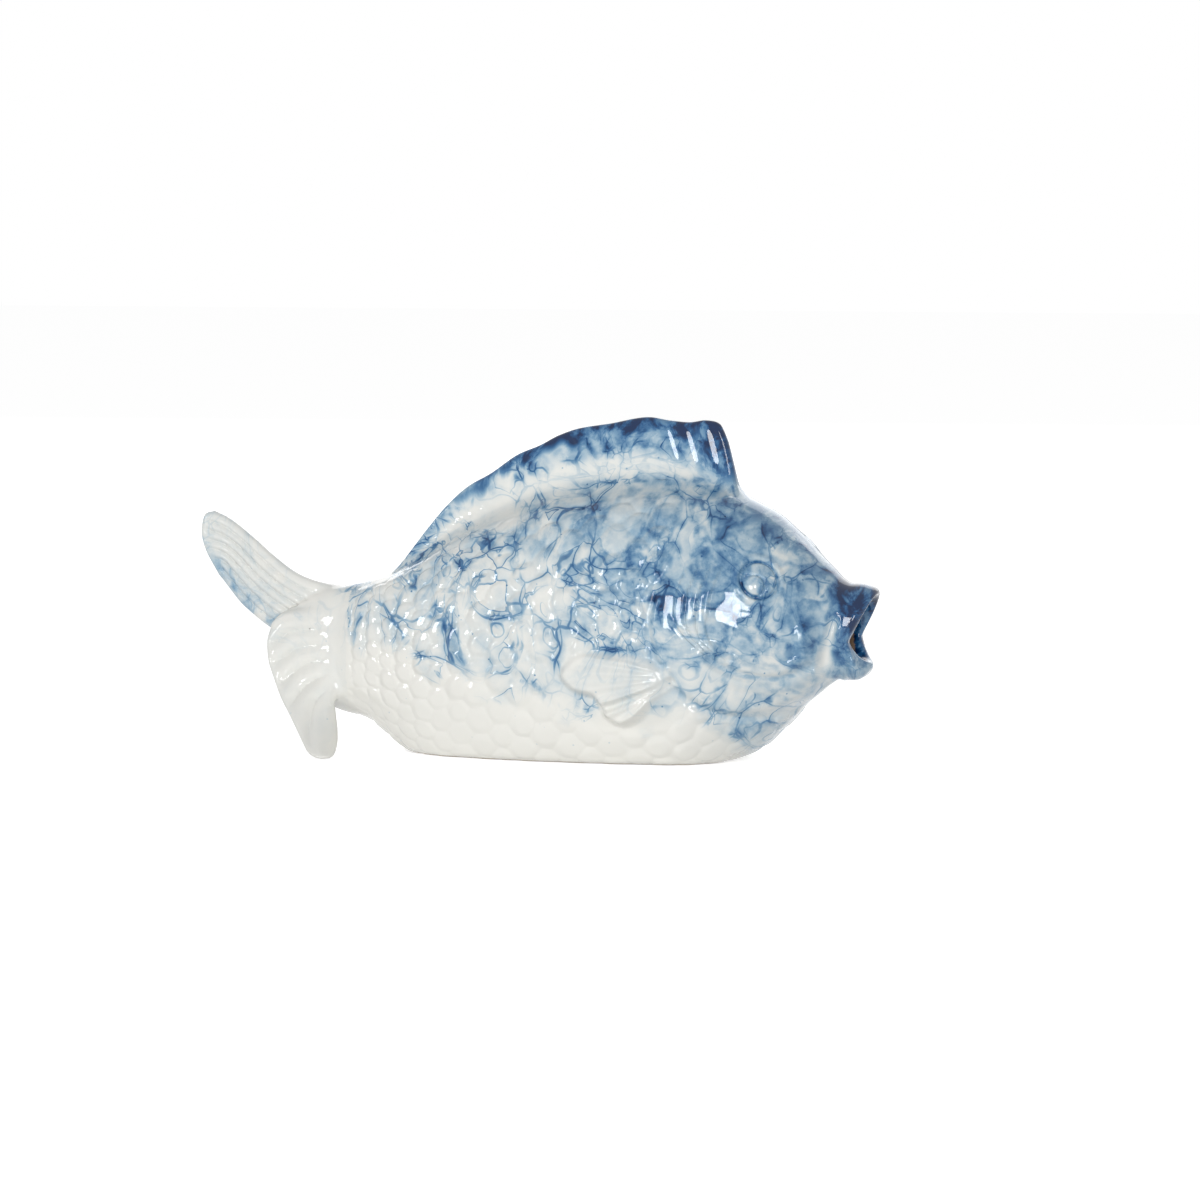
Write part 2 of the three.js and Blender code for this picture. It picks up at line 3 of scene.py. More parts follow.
import bpy
import numpy as np
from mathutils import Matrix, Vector


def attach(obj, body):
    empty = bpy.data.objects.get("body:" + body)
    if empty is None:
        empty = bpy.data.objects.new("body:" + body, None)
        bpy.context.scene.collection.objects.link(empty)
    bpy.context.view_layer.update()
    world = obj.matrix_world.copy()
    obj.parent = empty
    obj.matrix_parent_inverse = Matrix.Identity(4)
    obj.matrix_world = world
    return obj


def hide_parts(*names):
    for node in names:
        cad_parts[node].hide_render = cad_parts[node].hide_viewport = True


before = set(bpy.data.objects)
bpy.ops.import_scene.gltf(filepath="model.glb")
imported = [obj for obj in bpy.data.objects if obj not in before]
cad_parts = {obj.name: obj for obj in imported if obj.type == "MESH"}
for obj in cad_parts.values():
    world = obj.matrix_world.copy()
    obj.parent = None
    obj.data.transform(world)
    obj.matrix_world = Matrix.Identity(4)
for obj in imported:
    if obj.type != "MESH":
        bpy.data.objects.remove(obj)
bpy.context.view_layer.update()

MM = 0.001
CELL = 0.75  # mesh size of the skin
BLOCK = 4  # cells to a block of the first, coarse pass
GRID_LOW = (-142.8, -48.0, -3.0)
GRID_HIGH = (134.0, 48.0, 131.4)

# Sizes of the clay pieces
WALL = 4.5
SLAB = 5.0
VENT_X, VENT_RADIUS = -24.0, 8.0
FIN_EDGE = 2.2
TAIL_HALF = 3.0
TAIL_END = -103  # where the body stops inside the tail lobes
UPPER_RIBS, LOWER_RIBS = (7, 1.25), (6, 1.9)  # how many, and how deep
PECTORAL_LIFT = 2.9
PECTORAL_RAYS = 9
SCALE_ROWS = 14
SCALE_HEIGHT = 1.8
SCALE_RADIUS = 6.9
HEAD_X, HEAD_Z = 88, 54  # middle of the round plate of the head
PLATE_LIFT = 1.7
GILL_X, GILL_Z = 64, 58  # foremost point of the gill folds' line
GILL_FOLD = 0.85
FURROW_Z, FURROW_STRAIGHT = 45.5, 6  # the fold behind the lips: middle, and half its straight stretch
EYE_X, EYE_Z, EYE_RADIUS = 90.5, 69.3, 6.9
MOUTH_X = 111.6  # where the lip ring is luted to the head
LIP_Z = 48.5
CORNER_Z = 46.0  # height of the corners of the mouth
CORNER_X = 120.8  # how far forward those corners lie
LIP_UP, LIP_LOW = 8.8, 6.6  # how much further the upper and the lower lip reach


def step(a, b, v):
    """0 at a, 1 at b, smooth between; a may be the larger."""
    t = np.clip((v - a) / (b - a), 0, 1)
    return t * t * (3 - 2 * t)


def smin(a, b, k):
    """The smaller of two, with the change from one to the other rounded over k."""
    h = np.clip(0.5 + 0.5 * (b - a) / k, 0, 1)
    return b + (a - b) * h - k * h * (1 - h)


def smax(a, b, k):
    return -smin(-a, -b, k)


def bump(r):
    """1 at r = 0, gone by r = 1."""
    return np.clip(1 - r * r, 0, 1) ** 2


def pick(table, low, pitch, x):
    """Value at x of a table that starts at low and has a row every pitch."""
    at = np.clip((x - low) / pitch, 0, len(table) - 1.001)
    i = at.astype(int)
    f = at - i
    return table[i] * (1 - f) + table[i + 1] * f


def between(table, i, j):
    """Value of a table between its row numbers and column numbers."""
    i = np.clip(i, 0, table.shape[0] - 1.001)
    j = np.clip(j, 0, table.shape[1] - 1.001)
    a, b = i.astype(int), j.astype(int)
    f, g = i - a, j - b
    near = table[a, b] * (1 - f) + table[a + 1, b] * f
    far = table[a, b + 1] * (1 - f) + table[a + 1, b + 1] * f
    return near * (1 - g) + far * g


def unit(vectors):
    return vectors / np.linalg.norm(vectors, axis=1, keepdims=True)


def gradient(function, p, reach):
    """Slope of a function of points, from its values a short reach to each side."""
    out = np.empty_like(p)
    for k in range(3):
        aside = np.zeros(3)
        aside[k] = reach
        out[:, k] = (function(p + aside) - function(p - aside)) / (2 * reach)
    return out


def held(moves, most):
    """The moves, none of them longer than most."""
    length = np.linalg.norm(moves, axis=1, keepdims=True)
    return moves * np.minimum(1, most / np.maximum(length, 1e-9))


class Curve:
    """Smooth curve through (x, value) pairs that doesn't overshoot them."""

    def __init__(self, points, pitch=0.25):
        xs, vs = np.array(points, float).T
        h = np.diff(xs)
        rise = np.diff(vs) / h
        slope = np.concatenate([rise[:1], np.zeros(len(xs) - 2), rise[-1:]])
        a, b = rise[:-1], rise[1:]
        same = a * b > 0
        wa, wb = 2 * h[1:] + h[:-1], h[1:] + 2 * h[:-1]
        safe = [np.where(same, r, 1) for r in (a, b)]
        slope[1:-1] = np.where(same, (wa + wb) / (wa / safe[0] + wb / safe[1]), 0)
        at = np.arange(xs[0], xs[-1] + pitch, pitch)
        i = np.clip(np.searchsorted(xs, at, "right") - 1, 0, len(h) - 1)
        t = np.clip((at - xs[i]) / h[i], 0, 1)
        self.low, self.pitch = xs[0], pitch
        self.table = (
            (2 * t**3 - 3 * t**2 + 1) * vs[i] + (t**3 - 2 * t**2 + t) * h[i] * slope[i]
            + (3 * t**2 - 2 * t**3) * vs[i + 1] + (t**3 - t**2) * h[i] * slope[i + 1]
        )
        self.slopes = np.gradient(self.table, pitch)

    def __call__(self, x):
        return pick(self.table, self.low, self.pitch, x)

    def slope(self, x):
        return pick(self.slopes, self.low, self.pitch, x)


# Side view: top of the back and underside of the belly, on past the mouth plane as the lips
BACK = Curve([
    (-106, 48), (-98, 52), (-91, 56), (-84, 59.5), (-76, 61.7), (-60, 65.5), (-46, 73), (-30, 82.5),
    (-15, 90), (0, 95.5), (20, 100), (42, 102.5), (60, 102.2), (70, 101), (76, 99.6), (84, 95.9),
    (92, 91.3), (99.4, 84.8), (107, 77.4), (112, 72.5), (116.5, 68.1), (119.5, 66.7), (123, 66.6),
    (127, 65.6), (132, 63.5),
])
BELLY = Curve([
    (-106, 42), (-98, 33), (-91, 24), (-84, 16.5), (-76, 13.6), (-68, 12.6), (-62.8, 10.6), (-58, 7.2),
    (-53.5, 3.2), (-47, -1.5), (-40, -5.5), (-32, -8), (20, -9), (60, -7), (70, -3), (77, 1), (84.6, 4.3),
    (92, 10.7), (99.7, 19), (107, 25), (112, 28.8), (115.5, 31.1), (118.5, 31.9), (122.2, 32.4),
    (126, 34.6), (132, 37),
])
# Plan view: half width, and the height at which the section is widest
WIDTH = Curve([
    (-106, 0.4), (-98, 2), (-91, 4.6), (-84, 8), (-77, 11.2), (-70, 14.5), (-55, 21.5), (-35, 30),
    (-15, 36.5), (10, 41), (35, 42.5), (55, 41.5), (70, 38.5), (82, 34.5), (94, 29), (104, 23.5),
    (112, 18.5), (117, 15.6), (121, 14.6), (126, 13.6), (132, 12),
])
WIDEST = Curve([
    (-106, 45), (-98, 42), (-91, 39), (-80, 37), (-60, 36), (-30, 38), (10, 42), (50, 45), (80, 48),
    (100, 49.5), (114, 50), (126, 49),
])
# How square the section is, above and below its widest height
ROUND_UP, ROUND_LOW = 2.2, 2.5

# Crest of the dorsal fin, from its rear end to the corner over the head
CREST = Curve([
    (-68, 59), (-60, 63.5), (-51.5, 74), (-43.5, 84.2), (-35.5, 93.4), (-27.2, 100.5), (-19.4, 104.8),
    (-7.8, 112.6), (0, 115.8), (7.7, 119.8), (15.4, 122.4), (27, 124.3), (42.3, 126.9), (50, 125.8),
    (57.6, 125.2), (63.6, 126), (69.2, 125.2), (72.4, 122.2),
])
DORSAL_ROOT = (-61.0, 138.2)  # rear end and length along the back
DORSAL_RAYS = (36.5, 9.5)  # rays packed closer towards the rear

# The mouth: half width, top and bottom of the hole along the body
HOLE_X = (96, 104, 109, 113, 117, 120, 124, 132)
HOLE_WIDTH = Curve(list(zip(HOLE_X, (24.5, 19, 15.5, 12.8, 10.6, 9.9, 10.6, 12.2))))
HOLE_TOP = Curve(list(zip(HOLE_X, (82, 76, 71.5, 66.8, 62.3, 60.8, 61.2, 63.2))))
HOLE_LOW = Curve(list(zip(HOLE_X, (17, 25.5, 30, 33.6, 37.4, 38.6, 38.3, 36.8))))
HOLE_ROUND = 2.2


def body_shape(x, y, z):
    """Signed distance to the plain body, and the girth angle: 0 on the back, pi under the belly."""
    mid = WIDEST(x)
    up = z > mid
    a = WIDTH(x)
    b = np.where(up, BACK(x) - mid, mid - BELLY(x))
    db = np.where(up, BACK.slope(x) - WIDEST.slope(x), WIDEST.slope(x) - BELLY.slope(x))
    n = np.where(up, ROUND_UP, ROUND_LOW)
    across = np.maximum(np.abs(y) / a, 1e-6)
    over = np.maximum(np.abs(z - mid) / b, 1e-6)
    an, on = across**n, over**n
    g = np.maximum((an + on) ** (1 / n), 0.05)
    scale = g ** (1 - n)
    gy = an / across / a
    gz = on / over / b
    gx = -an / a * WIDTH.slope(x) - on / over * (np.where(up, 1, -1) * WIDEST.slope(x) / b + over * db / b)
    flat = scale * np.sqrt(gx * gx + gy * gy + gz * gz)
    angle = np.arctan2(np.sqrt(an), np.where(up, 1, -1) * np.sqrt(on))
    return (g - 1) / flat, angle


def half_width(x, z):
    """Half width of the plain body at (x, z)."""
    mid = WIDEST(x)
    up = z > mid
    n = np.where(up, ROUND_UP, ROUND_LOW)
    share = np.abs(z - mid) / np.where(up, BACK(x) - mid, mid - BELLY(x))
    return WIDTH(x) * np.clip(1 - share**n, 0, 1) ** (1 / n)


# Tables along the body: where they start and end, their pitch, and the columns of the girth's angle
TABLE_LOW, TABLE_HIGH = -104.0, 132.1
GIRTH_PITCH, GIRTH_TURNS = 2, 180
COLUMN_STEP = 0.5


def girth_table():
    """Share of the half girth run from the back at (x, angle), and the half girth itself."""
    xs = np.arange(TABLE_LOW, TABLE_HIGH, GIRTH_PITCH)
    angles = np.linspace(0, math.pi, GIRTH_TURNS + 1)
    x, t = np.meshgrid(xs, angles, indexing="ij")
    up = t < math.pi / 2
    mid = WIDEST(x)
    high = np.where(up, BACK(x) - mid, mid - BELLY(x))
    power = 2 / np.where(up, ROUND_UP, ROUND_LOW)
    y = WIDTH(x) * np.clip(np.sin(t), 0, 1) ** power
    z = mid + np.sign(np.cos(t)) * high * np.abs(np.cos(t)) ** power
    run = np.cumsum(np.hypot(np.diff(y, axis=1), np.diff(z, axis=1)), axis=1)
    run = np.concatenate([np.zeros((len(xs), 1)), run], axis=1)
    return run / run[:, -1:], run[:, -1]


def column_pitch(x):
    """Between columns of scales: 6.4 mm at the tail, 8.6 mm on the belly."""
    return 6.4 + 2.2 * step(-80, 0, x)


GIRTH, HALF_GIRTH = girth_table()
COLUMNS = np.cumsum(COLUMN_STEP / column_pitch(np.arange(TABLE_LOW, TABLE_HIGH, COLUMN_STEP)))


def girth_share(x, angle):
    return between(GIRTH, (x - TABLE_LOW) / GIRTH_PITCH, angle / math.pi * GIRTH_TURNS)


def uneven(a, b, seed):
    """A number from -1 to 1 for each whole pair (a, b), always the same."""
    return 2 * np.mod(np.abs(np.sin(a * 12.9898 + b * 78.233 + seed) * 43758.5453), 1) - 1


def scales(x, z, share):
    """Overlapping scales: each swells to its free edge at the tail side and drops softly onto the next."""
    column = pick(COLUMNS, TABLE_LOW, COLUMN_STEP, x)
    pitch = column_pitch(x)
    row = share * SCALE_ROWS
    height = pick(HALF_GIRTH, TABLE_LOW, GIRTH_PITCH, x) / SCALE_ROWS
    best = np.zeros_like(x)
    base = np.floor(column)
    for c in range(-1, 3):
        own = base + c
        odd = np.where(np.mod(own, 2) > 0.5, 0.5, 0.0)
        for side in (-0.5, 0.5):
            r = np.round(row - odd + side) + odd
            radius = SCALE_RADIUS * pitch / 8.6 * (1 + 0.1 * uneven(own, r, 1))
            back = (own - column + 0.13 * uneven(own, r, 2)) * pitch
            off = (row - r + 0.1 * uneven(own, r, 3)) * height
            reach = np.hypot(back, off * 1.05) / radius
            tilt = 0.6 + 0.4 * (0.5 + 0.5 * back / radius) + 0.14 * uneven(own, r, 4)
            scale = step(1.12, 0.4, reach) * tilt * (1.1 - 0.35 * reach**2)
            best = smax(best, scale, 0.16)
    fin = np.hypot((x - 42) / 27, (z - 29) / 16)
    head = np.hypot(x - HEAD_X, z - HEAD_Z)
    free = step(35, 38, head) * (1 - step(52, 64, x) * step(36, 56, z)) * step(0.85, 1.15, fin)
    free = free * step(0.07, 0.2, share) * step(-78, -64, x) * (1 - 0.35 * step(55, 85, z))
    return SCALE_HEIGHT * best * free * (0.5 + 0.58 * step(14, 46, z))


def gill_folds(x, z):
    """Three flat-topped crescent folds behind the cheek that run together under it."""
    low = z < GILL_Z
    line = GILL_X + np.where(low, 18.3 * ((GILL_Z - z) / 20.6) ** 2, 2.3 * ((z - GILL_Z) / 12.5) ** 2)
    fan = 4.2 * np.where(low, np.clip(1 - (GILL_Z - z) / 27, 0.22, 1), 1)
    r = (x - line) / fan
    near = step(35, 54, z) * (1 - step(66, 79, z))
    off = np.abs(r - np.clip(np.round(r), 0, 2))
    ridge = np.clip(1 - (2 * off) ** 6, 0, 1)
    return near * GILL_FOLD * (ridge - 0.3 * step(-1.4, -0.5, r) * (1 - step(2.5, 6.5, r)))


CHEEK_CREASE = [
    (74.5, 42), (77, 39), (80.5, 37), (85, 35.3), (92.6, 33.3), (98, 33.3), (103, 34.6), (107.5, 37.4),
]
JAW_EDGE = [(82, 20), (88.8, 20.3), (95, 21.2), (101, 23), (107, 26.5), (113, 30.5)]
PECTORAL_ROOT = (66.0, 34.5)
PECTORAL_CREASE = [(61.6, 32.8), (52, 27.8), (41.1, 23.6), (35.5, 22.6)]


def furrow_x(z):
    """Where the fold behind the lips runs."""
    return 115.6 - 0.235 * (53 - z)


def furrow_past(z):
    """How far beyond the furrow's straight stretch a height lies."""
    return np.clip(np.abs(z - FURROW_Z) - FURROW_STRAIGHT, 0, 99)


def head_relief(x, z):
    """Cheek plate with its round step, the creases under it, the fold behind the lips."""
    out = np.where((x > HEAD_X) & (z > HEAD_Z), 0, np.hypot(x - HEAD_X, z - HEAD_Z))
    plate = PLATE_LIFT * step(35.6, 32.2, out) * (1 - step(64, 80, z)) * (1 - step(103, 112, x))
    seam = -0.5 * bump((out - 36.2) / 2.2) * (1 - step(45, 60, z)) * (1 - step(96, 106, x)) * step(12, 18, z)
    off = stroke(x, z, CHEEK_CREASE)
    crease = -0.9 * bump(off / 2.6) + 0.6 * bump((off - 3.4) / 3)
    jaw = -0.8 * bump(stroke(x, z, JAW_EDGE) / 2.4)
    bulge = 1.9 * bump(np.hypot((x - 107.3) / 5, (z - 46.5) / 10.5))
    furrow = -1.4 * bump(np.hypot((x - furrow_x(z)) / 2.7, furrow_past(z) / 6))
    brow = 0.8 * bump(np.hypot((x - 96) / 16, (z - 80) / 6.5))
    return plate + seam + crease + jaw + bulge + furrow + brow


def eye_frame(side):
    """Centre of an eye on the flank, its axis, and the flank's forward and up directions there."""
    at = np.array([EYE_X]), np.array([EYE_Z])
    y = half_width(*at)[0]
    dx = (half_width(at[0] + 1, at[1]) - half_width(at[0] - 1, at[1]))[0] / 2
    dz = (half_width(at[0], at[1] + 1) - half_width(at[0], at[1] - 1))[0] / 2
    axis = np.array([-dx, side, -dz])
    axis /= np.linalg.norm(axis)
    ahead = np.array([1, side * dx, 0.0])
    ahead -= axis * (ahead @ axis)
    ahead /= np.linalg.norm(ahead)
    up = np.cross(axis, ahead) * -side
    return np.array([EYE_X, side * y, EYE_Z]), axis, ahead, up * np.sign(up[2])


EYE = eye_frame(-1)
PUPIL = (-2.3, -2.2, 4.0)  # offset ahead and up, and radius


def eye_relief(x, ay, z):
    """Domed eye in a ringed lid, its pupil set low and to the rear."""
    centre, axis, ahead, up = EYE
    e = np.stack([x - centre[0], -ay - centre[1], z - centre[2]], axis=-1)
    u, v, h = e @ ahead, e @ up, e @ axis
    rho = np.hypot(u, v)
    near = step(16, 12, np.abs(h))
    dome = 1.25 * np.clip(1 - (rho / EYE_RADIUS) ** 2, 0, 1) ** 0.7
    groove = -0.8 * bump((rho - EYE_RADIUS) / 1.1)
    lid = 0.5 * bump((rho - EYE_RADIUS - 1.7) / 1.9)
    p = np.hypot(u - PUPIL[0], v - PUPIL[1])
    ring = 0.5 * bump((p - PUPIL[2]) / 0.9) * step(7.2, 6.2, rho)
    pupil = 0.6 * np.clip(1 - (p / PUPIL[2]) ** 2, 0, 1) ** 0.7 - ring
    return near * (dome + groove + lid + pupil), rho, p


def spline(points, count):
    """Smooth curve that passes through all the points."""
    p = np.array(points, float)
    p = np.vstack([2 * p[0] - p[1], p, 2 * p[-1] - p[-2]])
    s = np.linspace(0, len(p) - 3, count)
    i = np.clip(s.astype(int), 0, len(p) - 4)
    t = (s - i)[:, None]
    a, b, c, d = p[i], p[i + 1], p[i + 2], p[i + 3]
    return 0.5 * (2 * b + (c - a) * t + (2 * a - 5 * b + 4 * c - d) * t**2 + (3 * b - a - 3 * c + d) * t**3)


def stroke(x, z, points):
    """Distance in side view to a line through points."""
    best = np.full_like(x, 1e3)
    for (ax, az), (bx, bz) in zip(points, points[1:]):
        ux, uz = bx - ax, bz - az
        t = np.clip(((x - ax) * ux + (z - az) * uz) / (ux * ux + uz * uz), 0, 1)
        best = np.minimum(best, np.hypot(x - ax - t * ux, z - az - t * uz))
    return best


class Outline:
    """Side-view shape: signed distance to it and its ray coordinate, as tables over (x, z)."""

    PITCH = 0.6

    def __init__(self, low, high, edge):
        self.low, self.high, self.edge = spline(low, 40), spline(high, 40), spline(edge, 60)
        loop = np.vstack([self.low, self.edge, self.high[::-1]])
        keep = np.linalg.norm(loop - np.roll(loop, 1, axis=0), axis=1) > 1e-6
        loop = loop[keep]
        self.corner = loop.min(axis=0) - 12
        size = ((loop.max(axis=0) + 12 - self.corner) / self.PITCH).astype(int) + 2
        gx = self.corner[0] + self.PITCH * np.arange(size[0])
        gz = self.corner[1] + self.PITCH * np.arange(size[1])
        x, z = np.meshgrid(gx, gz, indexing="ij")
        dist = np.full(x.shape, 1e9)
        inside = np.zeros(x.shape, bool)
        for a, b in zip(loop, np.roll(loop, -1, axis=0)):
            u = b - a
            t = np.clip(((x - a[0]) * u[0] + (z - a[1]) * u[1]) / (u @ u), 0, 1)
            dist = np.minimum(dist, np.hypot(x - a[0] - t * u[0], z - a[1] - t * u[1]))
            level = (a[1] > z) != (b[1] > z)
            inside ^= level & (x < (b[0] - a[0]) * (z - a[1]) / (b[1] - a[1] + 1e-12) + a[0])
        self.dist = np.where(inside, -dist, dist)
        self.rays(x, z)

    def rays(self, x, z):
        """How far across the fan each point lies, from its two side curves, and how far out of the root."""
        near_low = stroke(x, z, self.low)
        near_high = stroke(x, z, self.high)
        self.across = near_low / np.maximum(near_low + near_high, 1e-6)
        root = stroke(x, z, [self.low[0], self.high[0]])
        self.along = np.clip(root / root[self.dist < 0].max(), 0, 1)

    def look(self, table, x, z):
        """Value of one of the tables; past their edge the distance goes on growing."""
        inner = between(table, (x - self.corner[0]) / self.PITCH, (z - self.corner[1]) / self.PITCH)
        if table is not self.dist:
            return inner
        past = []
        for v, start, count in zip((x, z), self.corner, table.shape):
            past.append(np.maximum(start - v, 0) + np.maximum(v - start - self.PITCH * (count - 1), 0))
        return inner + np.hypot(*past)


UPPER = Outline(
    low=[(-79, 36), (-88, 36.8), (-96, 38.4), (-103.5, 41.6), (-111, 45.6), (-117, 49.6),
         (-122.6, 54), (-131.5, 63.6)],
    high=[(-79, 60.4), (-90.7, 62.6), (-99.2, 65.9), (-107.9, 71.6), (-116.8, 78.3), (-126, 84.4),
          (-133.5, 87.8)],
    edge=[(-131.5, 63.6), (-136.6, 72.6), (-138.4, 79.6), (-137.2, 86.3), (-133.5, 87.8)],
)
LOWER = Outline(
    low=[(-77, 17.5), (-74.8, 13), (-72.9, 9.6), (-70.6, 5), (-69.2, 0.5)],
    high=[(-78, 51.4), (-86, 51.2), (-93.5, 51.1), (-100.3, 50.2), (-104.4, 47)],
    edge=[(-69.2, 0.5), (-73, -0.4), (-79.4, 2.6), (-86.4, 8.2), (-92.7, 14.2), (-98.3, 20.3), (-103, 28),
          (-105.3, 33.4), (-106.2, 40.3), (-104.4, 47)],
)
PECTORAL = Outline(
    low=[(63.2, 31.4), (57, 27.8), (53.5, 24)],
    high=[(60.8, 36.8), (54, 39.6), (45.3, 42.3)],
    edge=[(53.5, 24), (49.4, 18.6), (42.8, 15.6), (37.4, 17.9), (34.4, 22.2), (32.2, 26.2), (25, 28.1),
          (20.2, 32.2), (19.5, 35.5), (21.7, 39.3), (28.6, 43.1), (37, 42.4), (45.3, 42.3)],
)


# Where the middle of each tail lobe lies to the side: the two bend apart
def upper_middle(x, z):
    return 3.4 + 9.6 * np.clip((-82 - x) / 48, 0, 1) ** 1.5


def lower_middle(x, z):
    t = np.clip((45 - z) / 45, 0, 1)
    return -(3.3 + 7 * t + 31 * t**3)


def lobe(shape, middle, ribbing, x, y, z):
    """Tail lobe: a round-edged ribbed sheet about its middle surface."""
    count, depth = ribbing
    mid = middle(x, z)
    sx = middle(x + 0.5, z) - middle(x - 0.5, z)
    sz = middle(x, z + 0.5) - middle(x, z - 0.5)
    across = shape.look(shape.across, x, z)
    along = shape.look(shape.along, x, z)
    rim = shape.look(shape.dist, x, z)
    groove = np.abs(np.sin(np.pi * count * across))
    ribs = depth * (groove - 0.6) * step(0.05, 0.3, along) * step(0, -4, rim)
    thick = (TAIL_HALF * (1 - 0.22 * along) + ribs) * (0.9 + 0.1 * step(0, -6, rim))
    aside = np.abs(y - mid) / np.sqrt(1 + sx * sx + sz * sz)
    past = np.maximum(rim + thick * 0.85, 0)
    return np.where(past > 0, np.hypot(past, aside), aside) - thick


def ray_lean(v):
    """How far back of its root a ray's tip stands: most a third of the way along the fin."""
    return 5 + 1.4 * v + 14 * step(0.02, 0.3, v) * (1 - v)


def dorsal_frame(x, z):
    """Share of the way up the dorsal fin, share of the way along its root, and the ray wave: 1 on a ray."""
    u = np.clip((z - BACK(x) + 4) / np.maximum(CREST(x) - BACK(x) + 4, 4), 0, 1.6)
    vc = np.clip((x - DORSAL_ROOT[0]) / DORSAL_ROOT[1], 0, 1)
    for _ in range(3):  # each round brings v nearer to the root of the ray that passes here
        lean = ray_lean(vc)
        v = (x - DORSAL_ROOT[0] + lean * np.clip(u, 0, 1.3) ** 1.25) / DORSAL_ROOT[1]
        vc = np.clip(v, 0, 1)
        root_x = DORSAL_ROOT[0] + DORSAL_ROOT[1] * vc
        root = BACK(root_x) - 4
        tip = np.maximum(CREST(root_x - lean), root + 4)
        u = np.clip((z - root) / (tip - root), -0.5, 1.6)
    return u, v, np.cos(2 * np.pi * (DORSAL_RAYS[0] * vc - DORSAL_RAYS[1] * vc**2))


def dorsal(x, ay, z):
    """Dorsal fin: soft rays that lean back and curve, thicker at the root."""
    u, v, ray = dorsal_frame(x, z)
    crest = (z - CREST(x)) / np.sqrt(1 + (0.9 * CREST.slope(x)) ** 2)
    front = (v - 1) * DORSAL_ROOT[1] * 0.98
    rear = -v * DORSAL_ROOT[1] * 0.6
    inside = BACK(x) - 16 - z
    rim = smax(smax(smax(crest, front, 3.8), rear, 3), inside, 3)
    pitch = DORSAL_ROOT[1] / (DORSAL_RAYS[0] - 2 * DORSAL_RAYS[1] * np.clip(v, 0, 1))
    deep = pitch * (0.026 + 0.008 * step(0.78, 0.9, v))
    half = FIN_EDGE + 1.3 * (1 - u) + 4.5 * np.clip(1 - u / 0.42, 0, 1) ** 2.2
    half = half + deep * ray * step(0.3, 0.55, u) * step(0.3, -4, rim) * (1 - 0.3 * step(0.75, 1, u))
    past = np.maximum(rim + FIN_EDGE * 0.95, 0)
    return np.where(past > 0, np.hypot(past, np.maximum(ay - half + FIN_EDGE, 0)) - FIN_EDGE, ay - half)


def pectoral_relief(x, z):
    """Fan of rays in two lobes laid on the flank, the upper lapping over the lower."""
    rim = PECTORAL.look(PECTORAL.dist, x, z)
    apex = PECTORAL_ROOT
    across = np.arctan2(apex[1] - z, apex[0] - x) / 1.55 + 0.36
    along = np.clip(np.hypot(x - apex[0], z - apex[1]) / 44, 0, 1)
    ray = 0.5 + 0.5 * np.cos(2 * np.pi * PECTORAL_RAYS * across)
    share = 0.55 + 0.45 * step(0, 0.5, along) + 0.05 * np.clip(38 - z, 0, 20)
    lift = PECTORAL_LIFT * step(1.1, -2.6, rim) * share
    wave = 0.9 * (ray - 0.5) * step(-0.3, -2.5, rim)
    lift = lift + wave * step(0.2, 0.42, along) * (1 - 0.5 * step(0.7, 1, along))
    crease = -1.7 * bump(stroke(x, z, PECTORAL_CREASE) / 2.6) * step(1, -1, rim)
    lower = -0.5 * step(-0.03, 0.03, across - 0.68) * step(1, -1, rim) * step(0.1, 0.4, along)
    return lift + crease + lower, rim


def swell(x, z):
    """Slow unevenness of a hand-finished mould casting."""
    broad = 0.22 * np.sin(x * 0.11 + 1.3) * np.sin(z * 0.13 + 0.4)
    return broad + 0.12 * np.sin(x * 0.31 + z * 0.17) * np.sin(z * 0.29 - x * 0.05 + 2)


def mouth_hole(x, y, z):
    top, low, wide = HOLE_TOP(x), HOLE_LOW(x), HOLE_WIDTH(x)
    mid = (top + low) / 2
    high = (top - low) / 2
    n = HOLE_ROUND
    a = np.maximum(np.abs(y) / wide, 1e-6)
    b = np.maximum(np.abs(z - mid) / high, 1e-6)
    an, bn = a**n, b**n
    g = np.maximum((an + bn) ** (1 / n), 0.05)
    steep = g ** (1 - n) * np.hypot(an / a / wide, bn / b / high)
    return smax((g - 1) / steep, 100 - x, 3)


def lips_front(x, y, z):
    """The lips' edge, furthest out at the top, drawn back at the corners."""
    up = z - CORNER_Z
    c = up / np.sqrt(up * up + (1.15 * y) ** 2 + 1e-6)
    edge = CORNER_X + np.where(c > 0, LIP_UP, LIP_LOW) * np.abs(c) ** 1.25
    return (x - edge) * 0.8


def forms(x, y, z):
    """Signed distances to the body with its relief, the dorsal fin and the two tail lobes."""
    ay = np.abs(y)
    plain, angle = body_shape(x, y, z)
    near = np.abs(plain) < 7
    relief = np.zeros_like(x)
    xn, zn, ayn = x[near], z[near], ay[near]
    share = girth_share(xn, angle[near])
    fin, rim = pectoral_relief(xn, zn)
    fin = fin * step(4, 8, ayn)
    eye, _, _ = eye_relief(xn, ayn, zn)
    side = step(3, 9, ayn)
    relief[near] = (scales(xn, zn, share) * (1 - step(1, -1.5, rim))
                    + (gill_folds(xn, zn) + head_relief(xn, zn)) * side + fin + eye + swell(xn, zn))
    body = plain - relief
    body = smax(body, lips_front(x, y, z), 1.8)
    body = smax(body, TAIL_END - x, 3)
    top = dorsal(x, ay, z)
    upper = lobe(UPPER, upper_middle, UPPER_RIBS, x, y, z)
    lower = lobe(LOWER, lower_middle, LOWER_RIBS, x, y, z)
    return body, top, upper, lower


